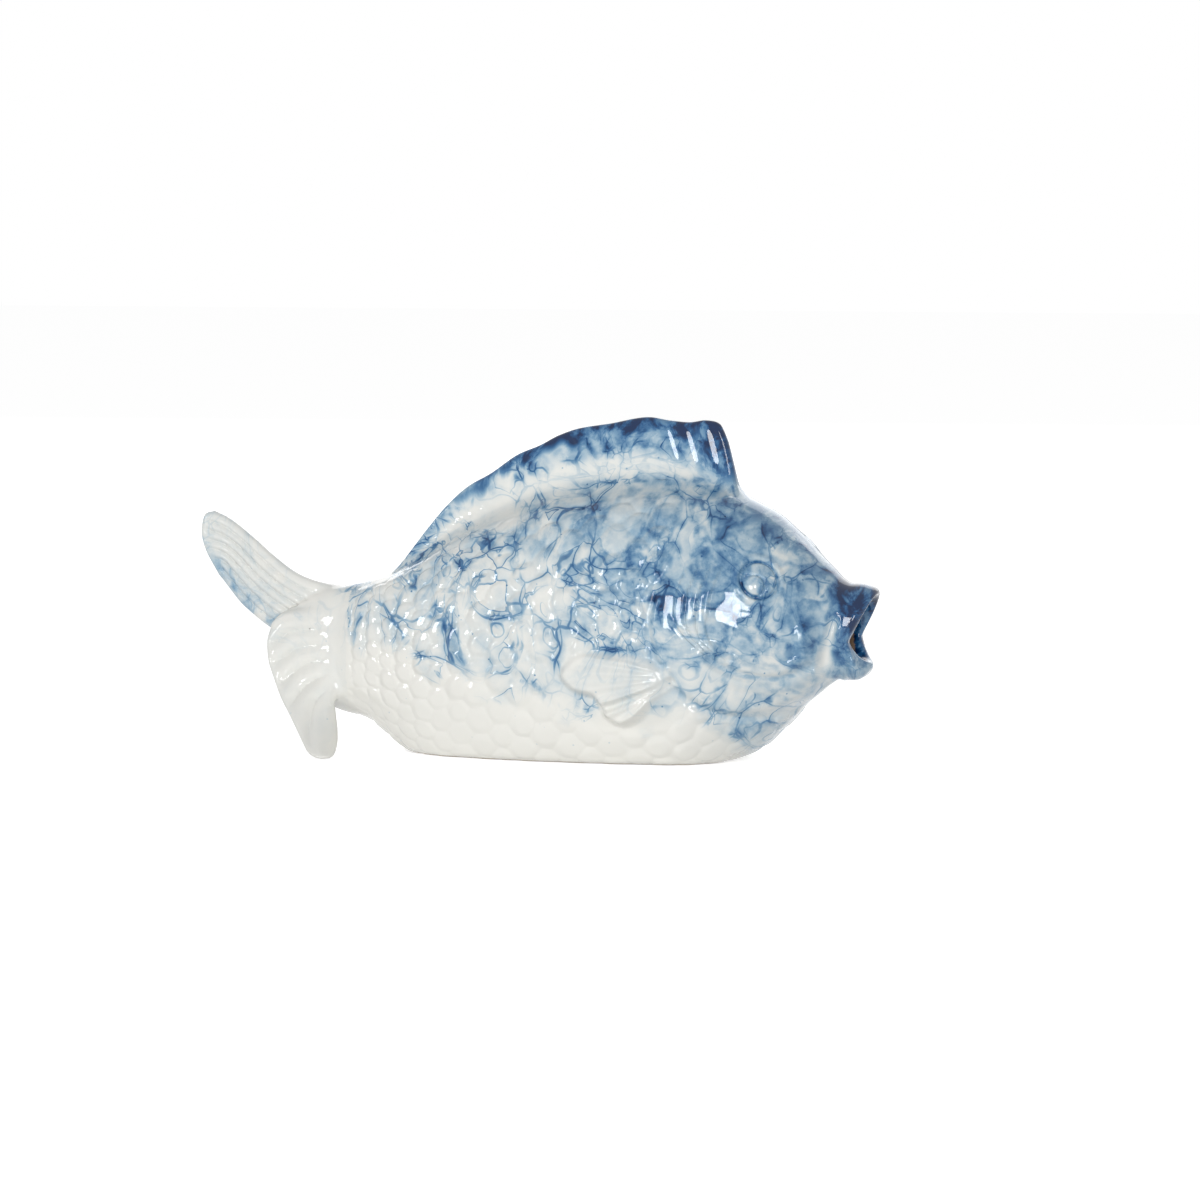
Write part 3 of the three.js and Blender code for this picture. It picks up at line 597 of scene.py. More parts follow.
def skin(p):
    """Signed distance to the whole fish, with its flat foot, mouth and vent."""
    x, y, z = p.T
    body, top, upper, lower = forms(x, y, z)
    whole = smin(body, top, 3 + 5 * step(-60, -30, x) - 4 * step(56, 76, x))
    whole = smin(whole, upper, 4)
    whole = smin(whole, lower, 4)
    whole = smax(whole, -z, 2.6)
    vent = smax(np.hypot(x - VENT_X, y) - VENT_RADIUS, z - 12, 1)
    whole = smax(whole, -mouth_hole(x, y, z), 1.3)
    return smax(whole, -vent, 0.8)


def in_parts(function, p, size=400_000):
    """A function of points, worked out for some of them at a time."""
    return np.concatenate([function(p[i:i + size]) for i in range(0, len(p), size)])


def slope_of(p):
    return gradient(lambda q: in_parts(skin, q), p, 0.12)


CORNERS = [(i, j, k) for i in (0, 1) for j in (0, 1) for k in (0, 1)]


def distances():
    """Distance to the skin on a grid: worked out near the skin, and elsewhere only inside or outside."""
    low = np.array(GRID_LOW)
    block = CELL * BLOCK
    blocks = np.ceil((np.array(GRID_HIGH) - low) / block).astype(int)
    axes = [low[k] + block * (np.arange(blocks[k]) + 0.5) for k in range(3)]
    centres = np.stack(np.meshgrid(*axes, indexing="ij"), axis=-1).reshape(-1, 3)
    coarse = in_parts(skin, centres).reshape(blocks)
    live = np.abs(coarse) < block * 1.75
    shape = tuple(blocks * BLOCK + 1)
    values = np.full(shape, 9, np.float32)
    sign = np.where(coarse < 0, -9, 9).astype(np.float32)
    values[:-1, :-1, :-1] = sign.repeat(BLOCK, 0).repeat(BLOCK, 1).repeat(BLOCK, 2)
    wanted = np.zeros(shape, bool)
    for start in np.ndindex(BLOCK + 1, BLOCK + 1, BLOCK + 1):
        wanted[tuple(slice(i, i + n * BLOCK, BLOCK) for i, n in zip(start, blocks))] |= live
    values[wanted] = in_parts(skin, low + np.argwhere(wanted) * CELL)
    return values


def net():
    """Surface net of the skin: vertices and four-sided faces that face out."""
    values = distances()
    inside = values < 0
    nx, ny, nz = (n - 1 for n in values.shape)
    count = sum(inside[i:nx + i, j:ny + j, k:nz + k].astype(np.int8) for i, j, k in CORNERS)
    cells = np.argwhere((count > 0) & (count < 8))
    number = np.full(count.shape, -1, np.int32)
    number[tuple(cells.T)] = np.arange(len(cells))
    total = np.zeros((len(cells), 3))
    hits = np.zeros(len(cells))
    for a in CORNERS:
        for axis in range(3):
            if a[axis]:
                continue
            b = tuple(1 if k == axis else a[k] for k in range(3))
            va = values[tuple((cells + a).T)]
            vb = values[tuple((cells + b).T)]
            cross = (va < 0) != (vb < 0)
            t = np.where(cross, va / np.where(cross, va - vb, 1), 0)
            spot = np.array(a, float)[None] + t[:, None] * (np.array(b) - np.array(a))[None]
            total += spot * cross[:, None]
            hits += cross
    points = np.array(GRID_LOW) + (cells + total / hits[:, None]) * CELL
    faces = []
    for axis in range(3):
        u, v = (axis + 1) % 3, (axis + 2) % 3
        first = [slice(1, -1)] * 3
        first[axis] = slice(0, -1)
        second = list(first)
        second[axis] = slice(1, None)
        at = np.argwhere(inside[tuple(first)] != inside[tuple(second)])
        at = at + np.array([0 if k == axis else 1 for k in range(3)])
        outward = inside[tuple(at.T)]
        ring = []
        for du, dv in ((-1, -1), (0, -1), (0, 0), (-1, 0)):
            cell = at.copy()
            cell[:, u] += du
            cell[:, v] += dv
            ring.append(number[tuple(cell.T)])
        quad = np.stack(ring, axis=1)
        faces.append(np.where(outward[:, None], quad, quad[:, ::-1]))
    return points, np.concatenate(faces)


def edges_of(faces):
    return np.concatenate([faces[:, [k, (k + 1) % 4]] for k in range(4)])


def settle(points, faces):
    """Evens the net out along the skin and puts each vertex on it."""
    pairs = edges_of(faces)
    for _ in range(3):
        mean = np.zeros_like(points)
        for k in range(3):
            mean[:, k] = np.bincount(pairs[:, 0], points[pairs[:, 1], k], len(points))
            mean[:, k] += np.bincount(pairs[:, 1], points[pairs[:, 0], k], len(points))
        degree = np.bincount(pairs.ravel(), minlength=len(points))[:, None]
        points = points + 0.5 * (mean / degree - points)
        grad = slope_of(points)
        size = np.maximum((grad**2).sum(axis=1), 0.2)
        points = points - held((in_parts(skin, points) / size)[:, None] * grad, 0.5 * CELL)
    return points


# The clay pieces: name, material slot, and the CAD nodes that each one stands for
BODY, SLAB_FOOT, RIM, DORSAL, TAIL_UP, TAIL_LOW, FIN_R, FIN_L, EYE_R, EYE_L, DROPPED = range(11)
PIECES = {
    BODY: ("glazed_body", "body_glaze", ("body_right_shell", "body_left_shell")),
    SLAB_FOOT: ("foot_slab", "foot_clay", ("base_slab",)),
    RIM: ("lip_ring", "rim_glaze", ("mouth_rim",)),
    DORSAL: ("back_fin", "fin_glaze", ("dorsal_fin",)),
    TAIL_UP: ("tail_lobe_upper", "fin_glaze", ("tail_upper_lobe",)),
    TAIL_LOW: ("tail_lobe_lower", "fin_glaze", ("tail_lower_lobe",)),
    FIN_R: ("side_fin_right", "body_glaze", ("pectoral_fin_right",)),
    FIN_L: ("side_fin_left", "body_glaze", ("pectoral_fin_left",)),
    EYE_R: ("eye_button_right", "body_glaze", ("eye_right",)),
    EYE_L: ("eye_button_left", "body_glaze", ("eye_left",)),
}
LUTED = (FIN_R, FIN_L, EYE_R, EYE_L)  # laid on the flanks in shallow pockets
FLOOR_MIDDLE = (10, 0)  # of the hollow's open floor
POCKET = 2.0  # thickness of those pieces
POCKET_GAP = 0.3
AWAY = -9.0  # score of a point that can't be in a piece
INNER = -1.6  # skin that lies deeper in the body than this is the wall of the mouth


def scores(p):
    """How deep each point of the skin lies in each piece; the body counts as 0."""
    x, y, z = p.T
    ay = np.abs(y)
    body, top, upper, lower = forms(x, y, z)
    rim = PECTORAL.look(PECTORAL.dist, x, z)
    _, rho, _ = eye_relief(x, ay, z)
    out = np.full((len(p), len(PIECES) + 1), AWAY)
    out[:, BODY] = 0
    out[:, DORSAL] = body - top
    out[:, TAIL_UP] = body - upper
    out[:, TAIL_LOW] = np.where(x < -60, body - lower, AWAY)
    flank = (np.abs(body) < 3) & (ay > 10)
    out[:, FIN_R] = np.where(flank & (y < 0), -rim, AWAY)
    out[:, FIN_L] = np.where(flank & (y > 0), -rim, AWAY)
    head = flank & (np.abs(x - EYE_X) < 14)
    out[:, EYE_R] = np.where(head & (y < 0), EYE_RADIUS + 0.2 - rho, AWAY)
    out[:, EYE_L] = np.where(head & (y > 0), EYE_RADIUS + 0.2 - rho, AWAY)
    return out, body


def label_of(p):
    """Which piece each point of the skin belongs to."""
    s, body = scores(p)
    label = s.argmax(axis=1)
    label[body < INNER] = DROPPED
    label[p[:, 0] > MOUTH_X] = RIM
    label[(p[:, 2] < SLAB) & (label != TAIL_LOW)] = SLAB_FOOT
    return label


def tidy_labels(faces, label):
    """Gives a face that three of its neighbours reach round to the piece that those belong to."""
    pairs = np.sort(edges_of(faces), axis=1)
    order = np.lexsort((pairs[:, 1], pairs[:, 0]))
    pairs = pairs[order]
    owner, side = order % len(faces), order // len(faces)
    same = np.flatnonzero((pairs[1:] == pairs[:-1]).all(axis=1))
    around = np.tile(np.arange(len(faces))[:, None], (1, 4))
    around[owner[same], side[same]] = owner[same + 1]
    around[owner[same + 1], side[same + 1]] = owner[same]
    for _ in range(8):
        near = label[around]
        other = np.sort(near, axis=1)
        most = other[:, 1]
        lonely = (most == other[:, 2]) & (most != label) & ((near == most[:, None]).sum(axis=1) >= 3)
        label = np.where(lonely, most, label)
    return label


def share_edges(points, faces, label):
    """Moves the vertices between two pieces onto the line where they meet."""
    low = np.full(len(points), 99)
    high = np.full(len(points), -1)
    for k in range(4):
        np.minimum.at(low, faces[:, k], label)
        np.maximum.at(high, faces[:, k], label)
    edge = np.flatnonzero(low != high)
    a, b = low[edge], high[edge]

    def gap(p):
        s, _ = scores(p)
        rows = np.arange(len(p))
        out = s[rows, a] - s[rows, b]
        out = np.where((a == RIM) | (b == RIM), p[:, 0] - MOUTH_X, out)
        return np.where((a == SLAB_FOOT) | (b == SLAB_FOOT), SLAB - p[:, 2], out)

    p = points[edge].copy()
    for _ in range(2):
        normal = unit(slope_of(p))
        grad = gradient(gap, p, 0.1)
        grad -= normal * (grad * normal).sum(axis=1, keepdims=True)
        size = np.maximum((grad**2).sum(axis=1), 0.05)
        p += held(-(gap(p) / size)[:, None] * grad, 0.45 * CELL)
        p -= in_parts(skin, p)[:, None] * normal
    points[edge] = p
    return points


def loops_of(faces):
    """Boundary loops of a patch, in the direction of its faces."""
    pairs = edges_of(faces).astype(np.int64)
    big = int(faces.max()) + 1
    key, count = np.unique(pairs[:, 0] * big + pairs[:, 1], return_counts=True)
    back = (key % big) * big + key // big
    found = np.minimum(np.searchsorted(key, back), len(key) - 1)
    count = count - np.where(key[found] == back, count[found], 0)
    key = np.repeat(key, np.maximum(count, 0))
    open_pairs = np.stack([key // big, key % big], axis=1)
    after = {}
    for a, b in open_pairs:
        after.setdefault(int(a), []).append(int(b))
    loops = []
    while after:
        start = next(iter(after))
        loop, at = [], start
        while at in after:
            loop.append(at)
            ways = after[at]
            at_next = ways.pop()
            if not ways:
                del after[at]
            at = at_next
            if at == start:
                break
        loops.append(loop)
    return [loop for loop in loops if len(loop) > 2]


def zip_loops(points, outer, inner, axes, centre):
    """Triangles between two rings, run round together by angle about a centre."""
    def turned(loop):
        u = points[loop][:, axes[0]] - centre[0]
        v = points[loop][:, axes[1]] - centre[1]
        angle = np.arctan2(v, u)
        step_sum = np.angle(np.exp(1j * np.diff(angle, append=angle[:1]))).sum()
        ring = np.array(loop)
        if step_sum < 0:
            ring, angle = ring[::-1], angle[::-1]
        first = angle.argmin()
        ring, angle = np.roll(ring, -first), np.roll(angle, -first)
        angle = np.maximum.accumulate(np.where(angle < angle[0], angle[0], angle))
        return list(ring) + [ring[0]], list(angle) + [angle[0] + 2 * math.pi]

    ring_a, angle_a = turned(outer)
    ring_b, angle_b = turned(inner)
    i = j = 0
    strip = []
    while i < len(ring_a) - 1 or j < len(ring_b) - 1:
        go_a = j == len(ring_b) - 1 or (i < len(ring_a) - 1 and angle_a[i + 1] <= angle_b[j + 1])
        if go_a:
            strip.append((ring_a[i], ring_a[i + 1], ring_b[j]))
            i += 1
        else:
            strip.append((ring_a[i], ring_b[j + 1], ring_b[j]))
            j += 1
    return [tuple(int(v) for v in f) for f in strip]


def lining():
    """Wall of the hollow: a closed tube with a ring at the mouth and an open floor over the slab."""
    xs = np.concatenate([[-69.5, -69, -67.5, -65], np.arange(-62, 109, 3), [109.5, MOUTH_X]])
    turn = np.linspace(0, 2 * math.pi, 96, endpoint=False)
    x, t = np.meshgrid(xs, turn, indexing="ij")
    near = step(97, 110, x)
    top = BACK(x) - WALL * 1.05
    low = BELLY(x) + WALL
    wide = WIDTH(x) - WALL
    top = top + (HOLE_TOP(x) - top) * near
    low = low + (HOLE_LOW(x) - low) * near
    wide = wide + (HOLE_WIDTH(x) - wide) * near
    end = np.sqrt(np.clip(1 - np.clip((-60 - x) / 10, 0, 1) ** 2, 0.002, 1))
    mid = WIDEST(x) + ((top + low) / 2 - WIDEST(x)) * near
    up = np.cos(t) > 0
    power = 2 / np.where(up, ROUND_UP, ROUND_LOW + (ROUND_UP - ROUND_LOW) * near)
    high = np.where(up, top - mid, mid - low) * end
    y = wide * end * np.sign(np.sin(t)) * np.abs(np.sin(t)) ** power
    z = mid + high * np.sign(np.cos(t)) * np.abs(np.cos(t)) ** power
    cut = z <= SLAB
    z = np.maximum(z, SLAB)
    points = np.stack([x, y, z], axis=-1).reshape(-1, 3)
    n = len(turn)
    faces = []
    for i in range(len(xs) - 1):
        for j in range(n):
            k = (j + 1) % n
            if cut[i, j] and cut[i, k] and cut[i + 1, j] and cut[i + 1, k]:
                continue
            faces.append((i * n + j, i * n + k, (i + 1) * n + k, (i + 1) * n + j))
    centre = np.array([[xs[0], 0, mid[0, 0]]])
    cap = [(len(points), (j + 1) % n, j) for j in range(n)]
    points = np.concatenate([points, centre])
    used, number = numbering(np.concatenate([np.ravel(faces), np.ravel(cap)]), len(points))
    return points[used], number[np.array(faces)], number[np.array(cap)]


# Height down to which the blue foam reached
BLUE_LOW = Curve([
    (-142, 50), (-100, 48), (-70, 45), (-48, 38), (-25, 32), (10, 24), (40, 21), (52, 19), (60, 24),
    (66, 18), (78, 9), (90, 4), (100, -8), (132, -20),
])
# Patches as x, z, width and height from the middle, and how much: where big bubbles burst and left the
# white bare, and where the blue ran together
BARE = [
    (-19, 60, 16, 13, 0.8), (-7, 90, 14, 9, 0.9), (-57, 62, 15, 13, 0.7), (-38, 47, 14, 8, 0.6),
    (2, 70, 11, 9, 0.5),
]
POOLED = [
    (26, 91, 13, 9, 0.4), (79, 49, 16, 11, 0.3), (101, 30, 13, 10, 0.4), (42, 76, 11, 8, 0.3),
    (87, 16, 15, 10, 0.3),
]


def spot(x, z, x0, z0, wide, tall):
    return bump(np.hypot((x - x0) / wide, (z - z0) / tall))


def patches(x, z, places):
    return sum(much * spot(x, z, *place) for *place, much in places)


def paint(p):
    """How the two glazes lie: red is line strength, green is wash, blue is full cover, alpha is bare clay."""
    x, y, z = p.T
    ay = np.abs(y)
    body, top, upper, lower = forms(x, y, z)
    _, rho, pupil = eye_relief(x, ay, z)
    in_fin = (top < body) & (x > -64)
    in_upper = upper < np.minimum(lower, body)
    in_lower = (lower < upper) & (x < -72)
    inner = body < INNER

    # the foam's lower limit runs ragged along the flank
    ragged = 3.2 * np.sin(x * 0.21 + 0.6 * np.sign(y)) + 2.4 * np.sin(x * 0.43 + z * 0.2)
    ragged = ragged + 1.8 * np.sin(z * 0.37 - x * 0.12 + 1)
    edge = BLUE_LOW(x) + ragged
    over = step(edge - 5, edge + 9, z)

    # lines: strongest on the rear flank, faint where the foam was wiped or ran thin
    tail_end = step(-80, -56, x + 0.6 * (z - 40))
    bare = 1 - patches(x, z, BARE)
    lines = over * (0.47 + 0.27 * step(60, 10, x)) * tail_end * bare
    rise = (z - BACK(x)) / np.maximum(CREST(x) - BACK(x), 6)
    root_band = in_fin * step(0.05, 0.2, rise) * step(0.62, 0.35, rise)
    lines = lines * (1 - 0.65 * root_band) * (1 - 0.4 * spot(x, z, 12, 58, 26, 18))
    rim = PECTORAL.look(PECTORAL.dist, x, z)
    on_fin = step(1.5, -1.5, rim) * (ay > 10)
    lines = lines * (1 - 0.75 * on_fin)
    lines = np.where(in_lower, 0.1 * step(30, 50, z), lines)
    tip = step(-100, -136, x)
    low_edge = step(9, 0, z - 36 - 0.72 * np.maximum(-90 - x, 0))
    lines = np.where(in_upper, 0.05 + 0.08 * low_edge + 0.1 * tip, lines)

    # washes: the head, the upper flank and the fin's outer half
    wash = over * (0.21 + 0.67 * step(15, 62, x) * step(24, 54, z)) * tail_end
    wash = wash + 0.35 * over * spot(x, z, 25, 88, 60, 16) + 0.25 * over * spot(x, z, -35, 66, 26, 12)
    wash = wash * (1 - 0.75 * root_band) * bare
    wash = np.maximum(wash, step(66, 86, x) * step(60, 84, z) * (1 - in_fin) * over)
    wash = wash + 0.5 * spot(x, z, 75, 54, 11, 17) + 0.35 * spot(x, z, 60, 62, 9, 20)
    wash = wash + 0.6 * spot(x, z, 106, 42, 7, 12)
    wash = (wash + patches(x, z, POOLED)) * (1 - 0.65 * on_fin)
    # more wash in the grooves between the fin's rays than on the rays: glaze pooled there, with painted shade
    # in the grooves
    ray_groove_pool_and_shade = 0.8 - 0.4 * dorsal_frame(x, z)[2]
    wash = wash + np.where(in_fin, (0.4 + 0.6 * step(-5, 35, x)) * step(0.36, 0.8, rise) * ray_groove_pool_and_shade, 0)
    wash = np.where(in_upper, 0.08 + 0.15 * low_edge * step(-84, -96, x) + 0.3 * tip * low_edge, wash)
    wash = np.where(in_lower, 0.04, wash)

    # full cover: the fin's crest and front corner, the brow, and the lips but for the furrow behind them
    crest = CREST(x) - z + 1.4 * np.sin(x * 0.33) + 1.0 * np.sin(x * 0.71 + 1)
    deep = np.where(in_fin, step(8 + 7 * step(10, 50, x), 1.0, crest), 0) * (0.38 + 0.62 * step(-45, 5, x))
    corner = np.where(in_fin, step(56, 68, x + 0.3 * (z - 112)) * step(96, 112, z), 0)
    deep = np.maximum(deep, 0.9 * corner)
    brow = step(12, 2, BACK(x) - z) * step(74, 86, x) * (1 - in_fin)
    deep = np.maximum(deep, 0.5 * brow)
    lips = step(112, 118.5, x + 0.1 * np.abs(z - 48) + 0.9 * np.sin(z * 0.6))
    deep = np.maximum(deep, 0.95 * lips * (0.62 + 0.38 * step(38, 47, z)))
    pale = spot(x - furrow_x(z), furrow_past(z), 0, 0, 3.3, 6) * step(4, 9, ay)
    deep = deep * (1 - 0.95 * pale)
    wash = wash * (1 - 0.85 * pale)
    lip_edge = bump(lips_front(x, y, z) / 1.5) * step(0.9, 2.4, np.abs(body)) * (x > 116)

    # darker blue along the eye's rings and the cheek crease: glaze that ran into the grooves, deepened
    # further as painted shade in them
    pooled_and_shaded_grooves = bump((rho - EYE_RADIUS) / 1.2) + 0.8 * bump((pupil - PUPIL[2]) / 0.9) * (rho < EYE_RADIUS)
    pooled_and_shaded_grooves = pooled_and_shaded_grooves + 0.45 * bump(stroke(x, z, CHEEK_CREASE) / 2)
    deep = np.maximum(deep, 0.72 * pooled_and_shaded_grooves * (ay > 8) * over)
    deep = deep * (1 - 0.6 * lip_edge)

    deep = np.where(inner, step(114, 120, x + 0.25 * np.abs(z - LIP_Z)), deep)
    clay = np.where(inner & (x < 117.5 + 0.22 * np.abs(z - LIP_Z)), 1.0, 0.0)
    clay = np.maximum(clay, step(0.9, 0.15, z) * (x > -62))
    return np.clip(np.stack([lines, wash, deep, clay], axis=1), 0, 1)


def smooth_normals(points, faces):
    """Vertex normals of a mesh of quads and triangles."""
    out = np.zeros_like(points)
    for f in faces:
        if not len(f):
            continue
        f = np.asarray(f)
        n = np.cross(points[f[:, 2]] - points[f[:, 0]], points[f[:, -1]] - points[f[:, 1]])
        for k in range(f.shape[1]):
            np.add.at(out, f[:, k], n)
    return out / np.maximum(np.linalg.norm(out, axis=1, keepdims=True), 1e-9)


def numbering(used, count):
    """The vertices that are used, and a table from their old numbers to their new ones."""
    used = np.unique(used)
    number = np.full(count, -1)
    number[used] = np.arange(len(used))
    return used, number


def rim_of(patch):
    """The edges round a patch."""
    return [(a, b) for loop in loops_of(patch) for a, b in zip(loop, loop[1:] + loop[:1])]


class Piece:
    """A clay piece: its patch of the skin, and the hidden faces that close it behind."""

    def __init__(self, surface, faces):
        self.used, self.number = numbering(faces, len(surface[0]))
        self.points, self.normals, self.colours = (values[self.used] for values in surface)
        self.patch = self.number[faces]
        self.rings = loops_of(self.patch)
        self.closing = []

    def add(self, points, normals, colours):
        """Takes in more vertices and returns the number of the first."""
        base = len(self.points)
        self.points = np.concatenate([self.points, points])
        self.normals = np.concatenate([self.normals, normals])
        self.colours = np.concatenate([self.colours, colours])
        return base

    def close(self, faces):
        self.closing += [tuple(int(v) for v in face) for face in faces]

    def join(self, ring, other, axes, centre):
        self.closing += zip_loops(self.points, ring, other, axes, centre)

    def link(self, name, slot, nodes, material):
        """Makes the mesh object, hangs it under the root body and hides the CAD nodes that it stands for;
        slot is not used.
        """
        mesh = bpy.data.meshes.new(name)
        mesh.from_pydata((self.points * MM).tolist(), [], self.patch.tolist() + self.closing)
        mesh.validate()
        mesh.shade_smooth()
        mesh.normals_split_custom_set_from_vertices(self.normals.tolist())
        layer = mesh.attributes.new("glaze", "FLOAT_COLOR", "POINT")
        layer.data.foreach_set("color", self.colours.astype(np.float32).ravel())
        mesh.materials.append(material)
        piece = bpy.data.objects.new(name, mesh)
        bpy.context.scene.collection.objects.link(piece)
        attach(piece, "root")
        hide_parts(*nodes)


def sink_pockets(body, laid_on):
    """Shallow pockets in the flanks under the fins and eyes; returns the vertices round them."""
    sunk = set()
    for luted in laid_on:
        deep = luted.points - luted.normals * (POCKET + POCKET_GAP)
        base = body.add(deep, luted.normals, luted.colours)
        body.close(luted.patch + base)
        for a, b in rim_of(luted.patch):
            start, end = body.number[luted.used[[a, b]]]
            sunk.add(int(start))
            body.close([(start, end, b + base, a + base)])
    return sunk


def line_hollow(body, sunk):
    """Puts in the wall of the hollow and joins it to the shell at the mouth and over the slab."""
    points, tube, cap = lining()
    clay = np.tile([0, 0, 0, 1.0], (len(points), 1))
    base = body.add(points, -smooth_normals(points, [tube, cap]), clay)
    body.close(tube[:, ::-1] + base)
    body.close(cap + base)
    rings_in = loops_of(tube + base)
    mouth_in = max(rings_in, key=lambda r: body.points[r][:, 0].min())
    rings_in = [r for r in rings_in if r is not mouth_in]
    floor_in = max(rings_in, key=lambda r: -body.points[r][:, 2].mean() + len(r))
    for ring in body.rings:
        if ring[0] in sunk:
            continue
        at = body.points[ring]
        if at[:, 0].min() > MOUTH_X - 2:
            body.join(ring, mouth_in, (1, 2), (0, LIP_Z))
        elif at[:, 2].max() < SLAB + 1.5:
            body.join(ring, floor_in, (0, 1), FLOOR_MIDDLE)
        else:
            body.close([ring[::-1]])


def back_up(luted):
    """Gives a fin or an eye its flat back, sunk into the flank's pocket."""
    rim = rim_of(luted.patch)
    base = luted.add(luted.points - luted.normals * POCKET, -luted.normals, luted.colours)
    luted.close(luted.patch[:, ::-1] + base)
    luted.close([(b, a, a + base, b + base) for a, b in rim])


def build_pieces(material):
    points, faces = net()
    points = settle(points, faces)
    label = tidy_labels(faces, label_of(points[faces].mean(axis=1)))
    points = share_edges(points, faces, label)
    surface = points, unit(slope_of(points)), in_parts(paint, points)
    pieces = {key: Piece(surface, faces[label == key]) for key in PIECES}
    line_hollow(pieces[BODY], sink_pockets(pieces[BODY], [pieces[key] for key in LUTED]))
    for key, piece in pieces.items():
        rings = piece.rings
        if key == RIM:
            piece.join(rings[0], rings[1], (1, 2), (0, LIP_Z))
        elif key == SLAB_FOOT:
            piece.join(max(rings, key=len), min(rings, key=len), (0, 1), (VENT_X, 0))
        elif key in LUTED:
            back_up(piece)
        elif key != BODY:
            piece.close([ring[::-1] for ring in rings])
        print(PIECES[key][0], len(piece.points), "points, edges in rings", [len(r) for r in rings])
        piece.link(*PIECES[key], material)


# Glaze colours as they look, in 0-255 steps, by how much blue lies on the white
GLAZE = [
    (0.0, (236, 235, 229)),
    (0.1, (212, 219, 220)),
    (0.25, (166, 190, 205)),
    (0.42, (113, 152, 182)),
    (0.6, (66, 114, 157)),
    (0.78, (26, 80, 128)),
    (1.0, (3, 40, 82)),
]
FOOT_CLAY = (206, 190, 166)
# bare clay of the mouth's inner wall, painted darker than the foot's clay as shade inside the hollow
SHADED_INNER_CLAY = (142, 104, 78)
BIG, MIDDLE, SMALL = 19, 10.5, 5.4  # sizes of the foam's bubbles
CLAY_GRIT = (120, 92, 70)


def linear(colour):
    """Blender's linear colour from a colour as it looks."""
    parts = [c / 255 for c in colour]
    return tuple(c / 12.92 if c <= 0.04045 else ((c + 0.055) / 1.055) ** 2.4 for c in parts) + (1.0,)


def new_material(name):
    material = bpy.data.materials.new(name)
    material.use_nodes = True
    return material, Sheet(material.node_tree)


class Sheet:
    """Short ways to fill a material's or the world's node tree."""

    def __init__(self, tree):
        self.tree = tree
        self.tree.nodes.clear()

    def node(self, kind, inputs=None, **settings):
        node = self.tree.nodes.new(kind)
        for key, value in settings.items():
            setattr(node, key, value)
        for key, value in (inputs or {}).items():
            self.put(node.inputs[key], value)
        return node

    def put(self, socket, value):
        if isinstance(value, bpy.types.NodeSocket):
            self.tree.links.new(value, socket)
        else:
            socket.default_value = value

    def math(self, operation, a, b=0.0):
        return self.node("ShaderNodeMath", {0: a, 1: b}, operation=operation).outputs[0]

    def chain(self, operation, values):
        total = values[0]
        for value in values[1:]:
            total = self.math(operation, total, value)
        return total

    def add(self, *values):
        return self.chain("ADD", values)

    def times(self, *values):
        return self.chain("MULTIPLY", values)

    def most(self, *values):
        return self.chain("MAXIMUM", values)

    def ease(self, value, start, end, low=0.0, high=1.0):
        """low where value is start, high where it is end, smooth between."""
        inputs = {"Value": value, "From Min": start, "From Max": end, "To Min": low, "To Max": high}
        return self.node("ShaderNodeMapRange", inputs, interpolation_type="SMOOTHSTEP").outputs[0]

    def mix(self, share, a, b):
        node = self.node("ShaderNodeMix", data_type="RGBA")
        self.put(node.inputs[0], share)
        self.put(node.inputs[6], a)
        self.put(node.inputs[7], b)
        return node.outputs[2]

    def noise(self, place, size, detail=2.0, rough=0.5):
        """Cloudy pattern whose lumps are about size millimetres."""
        inputs = {"Vector": place, "Scale": 1 / (size * MM), "Detail": detail, "Roughness": rough}
        return self.node("ShaderNodeTexNoise", inputs)

    def cloud(self, place, offset, size, start, end, detail=2.0, rough=0.5, low=0.0, high=1.0):
        fac = self.noise(self.shift(place, offset), size, detail, rough).outputs["Fac"]
        return self.ease(fac, start, end, low, high)

    def shift(self, place, offset):
        return self.node("ShaderNodeVectorMath", {0: place, 1: offset}, operation="ADD").outputs[0]

    def warp(self, place, size, reach, detail=0.0):
        """Moves the pattern about by up to reach millimetres, in lumps of size millimetres."""
        cloud = self.noise(place, size, detail).outputs["Color"]
        centred = self.node("ShaderNodeVectorMath", {0: cloud, 1: (0.5, 0.5, 0.5)}, operation="SUBTRACT")
        inputs = {0: centred.outputs[0], "Scale": reach * MM * 4}
        push = self.node("ShaderNodeVectorMath", inputs, operation="SCALE").outputs[0]
        return self.shift(place, push)

    def bubbles(self, place, size, seed, even=1.0):
        """Burst soap bubbles: distance in mm from a bubble's edge and centre, and two numbers of its own."""
        inputs = {"Vector": self.shift(place, seed), "Scale": 1 / (size * MM), "Randomness": even}
        walls = self.node("ShaderNodeTexVoronoi", inputs, feature="DISTANCE_TO_EDGE").outputs["Distance"]
        centre = self.node("ShaderNodeTexVoronoi", inputs, feature="F1")
        away = self.times(centre.outputs["Distance"], size)
        own = self.node("ShaderNodeSeparateColor", {0: centre.outputs["Color"]})
        return self.times(walls, size), away, own.outputs[0], own.outputs[1]


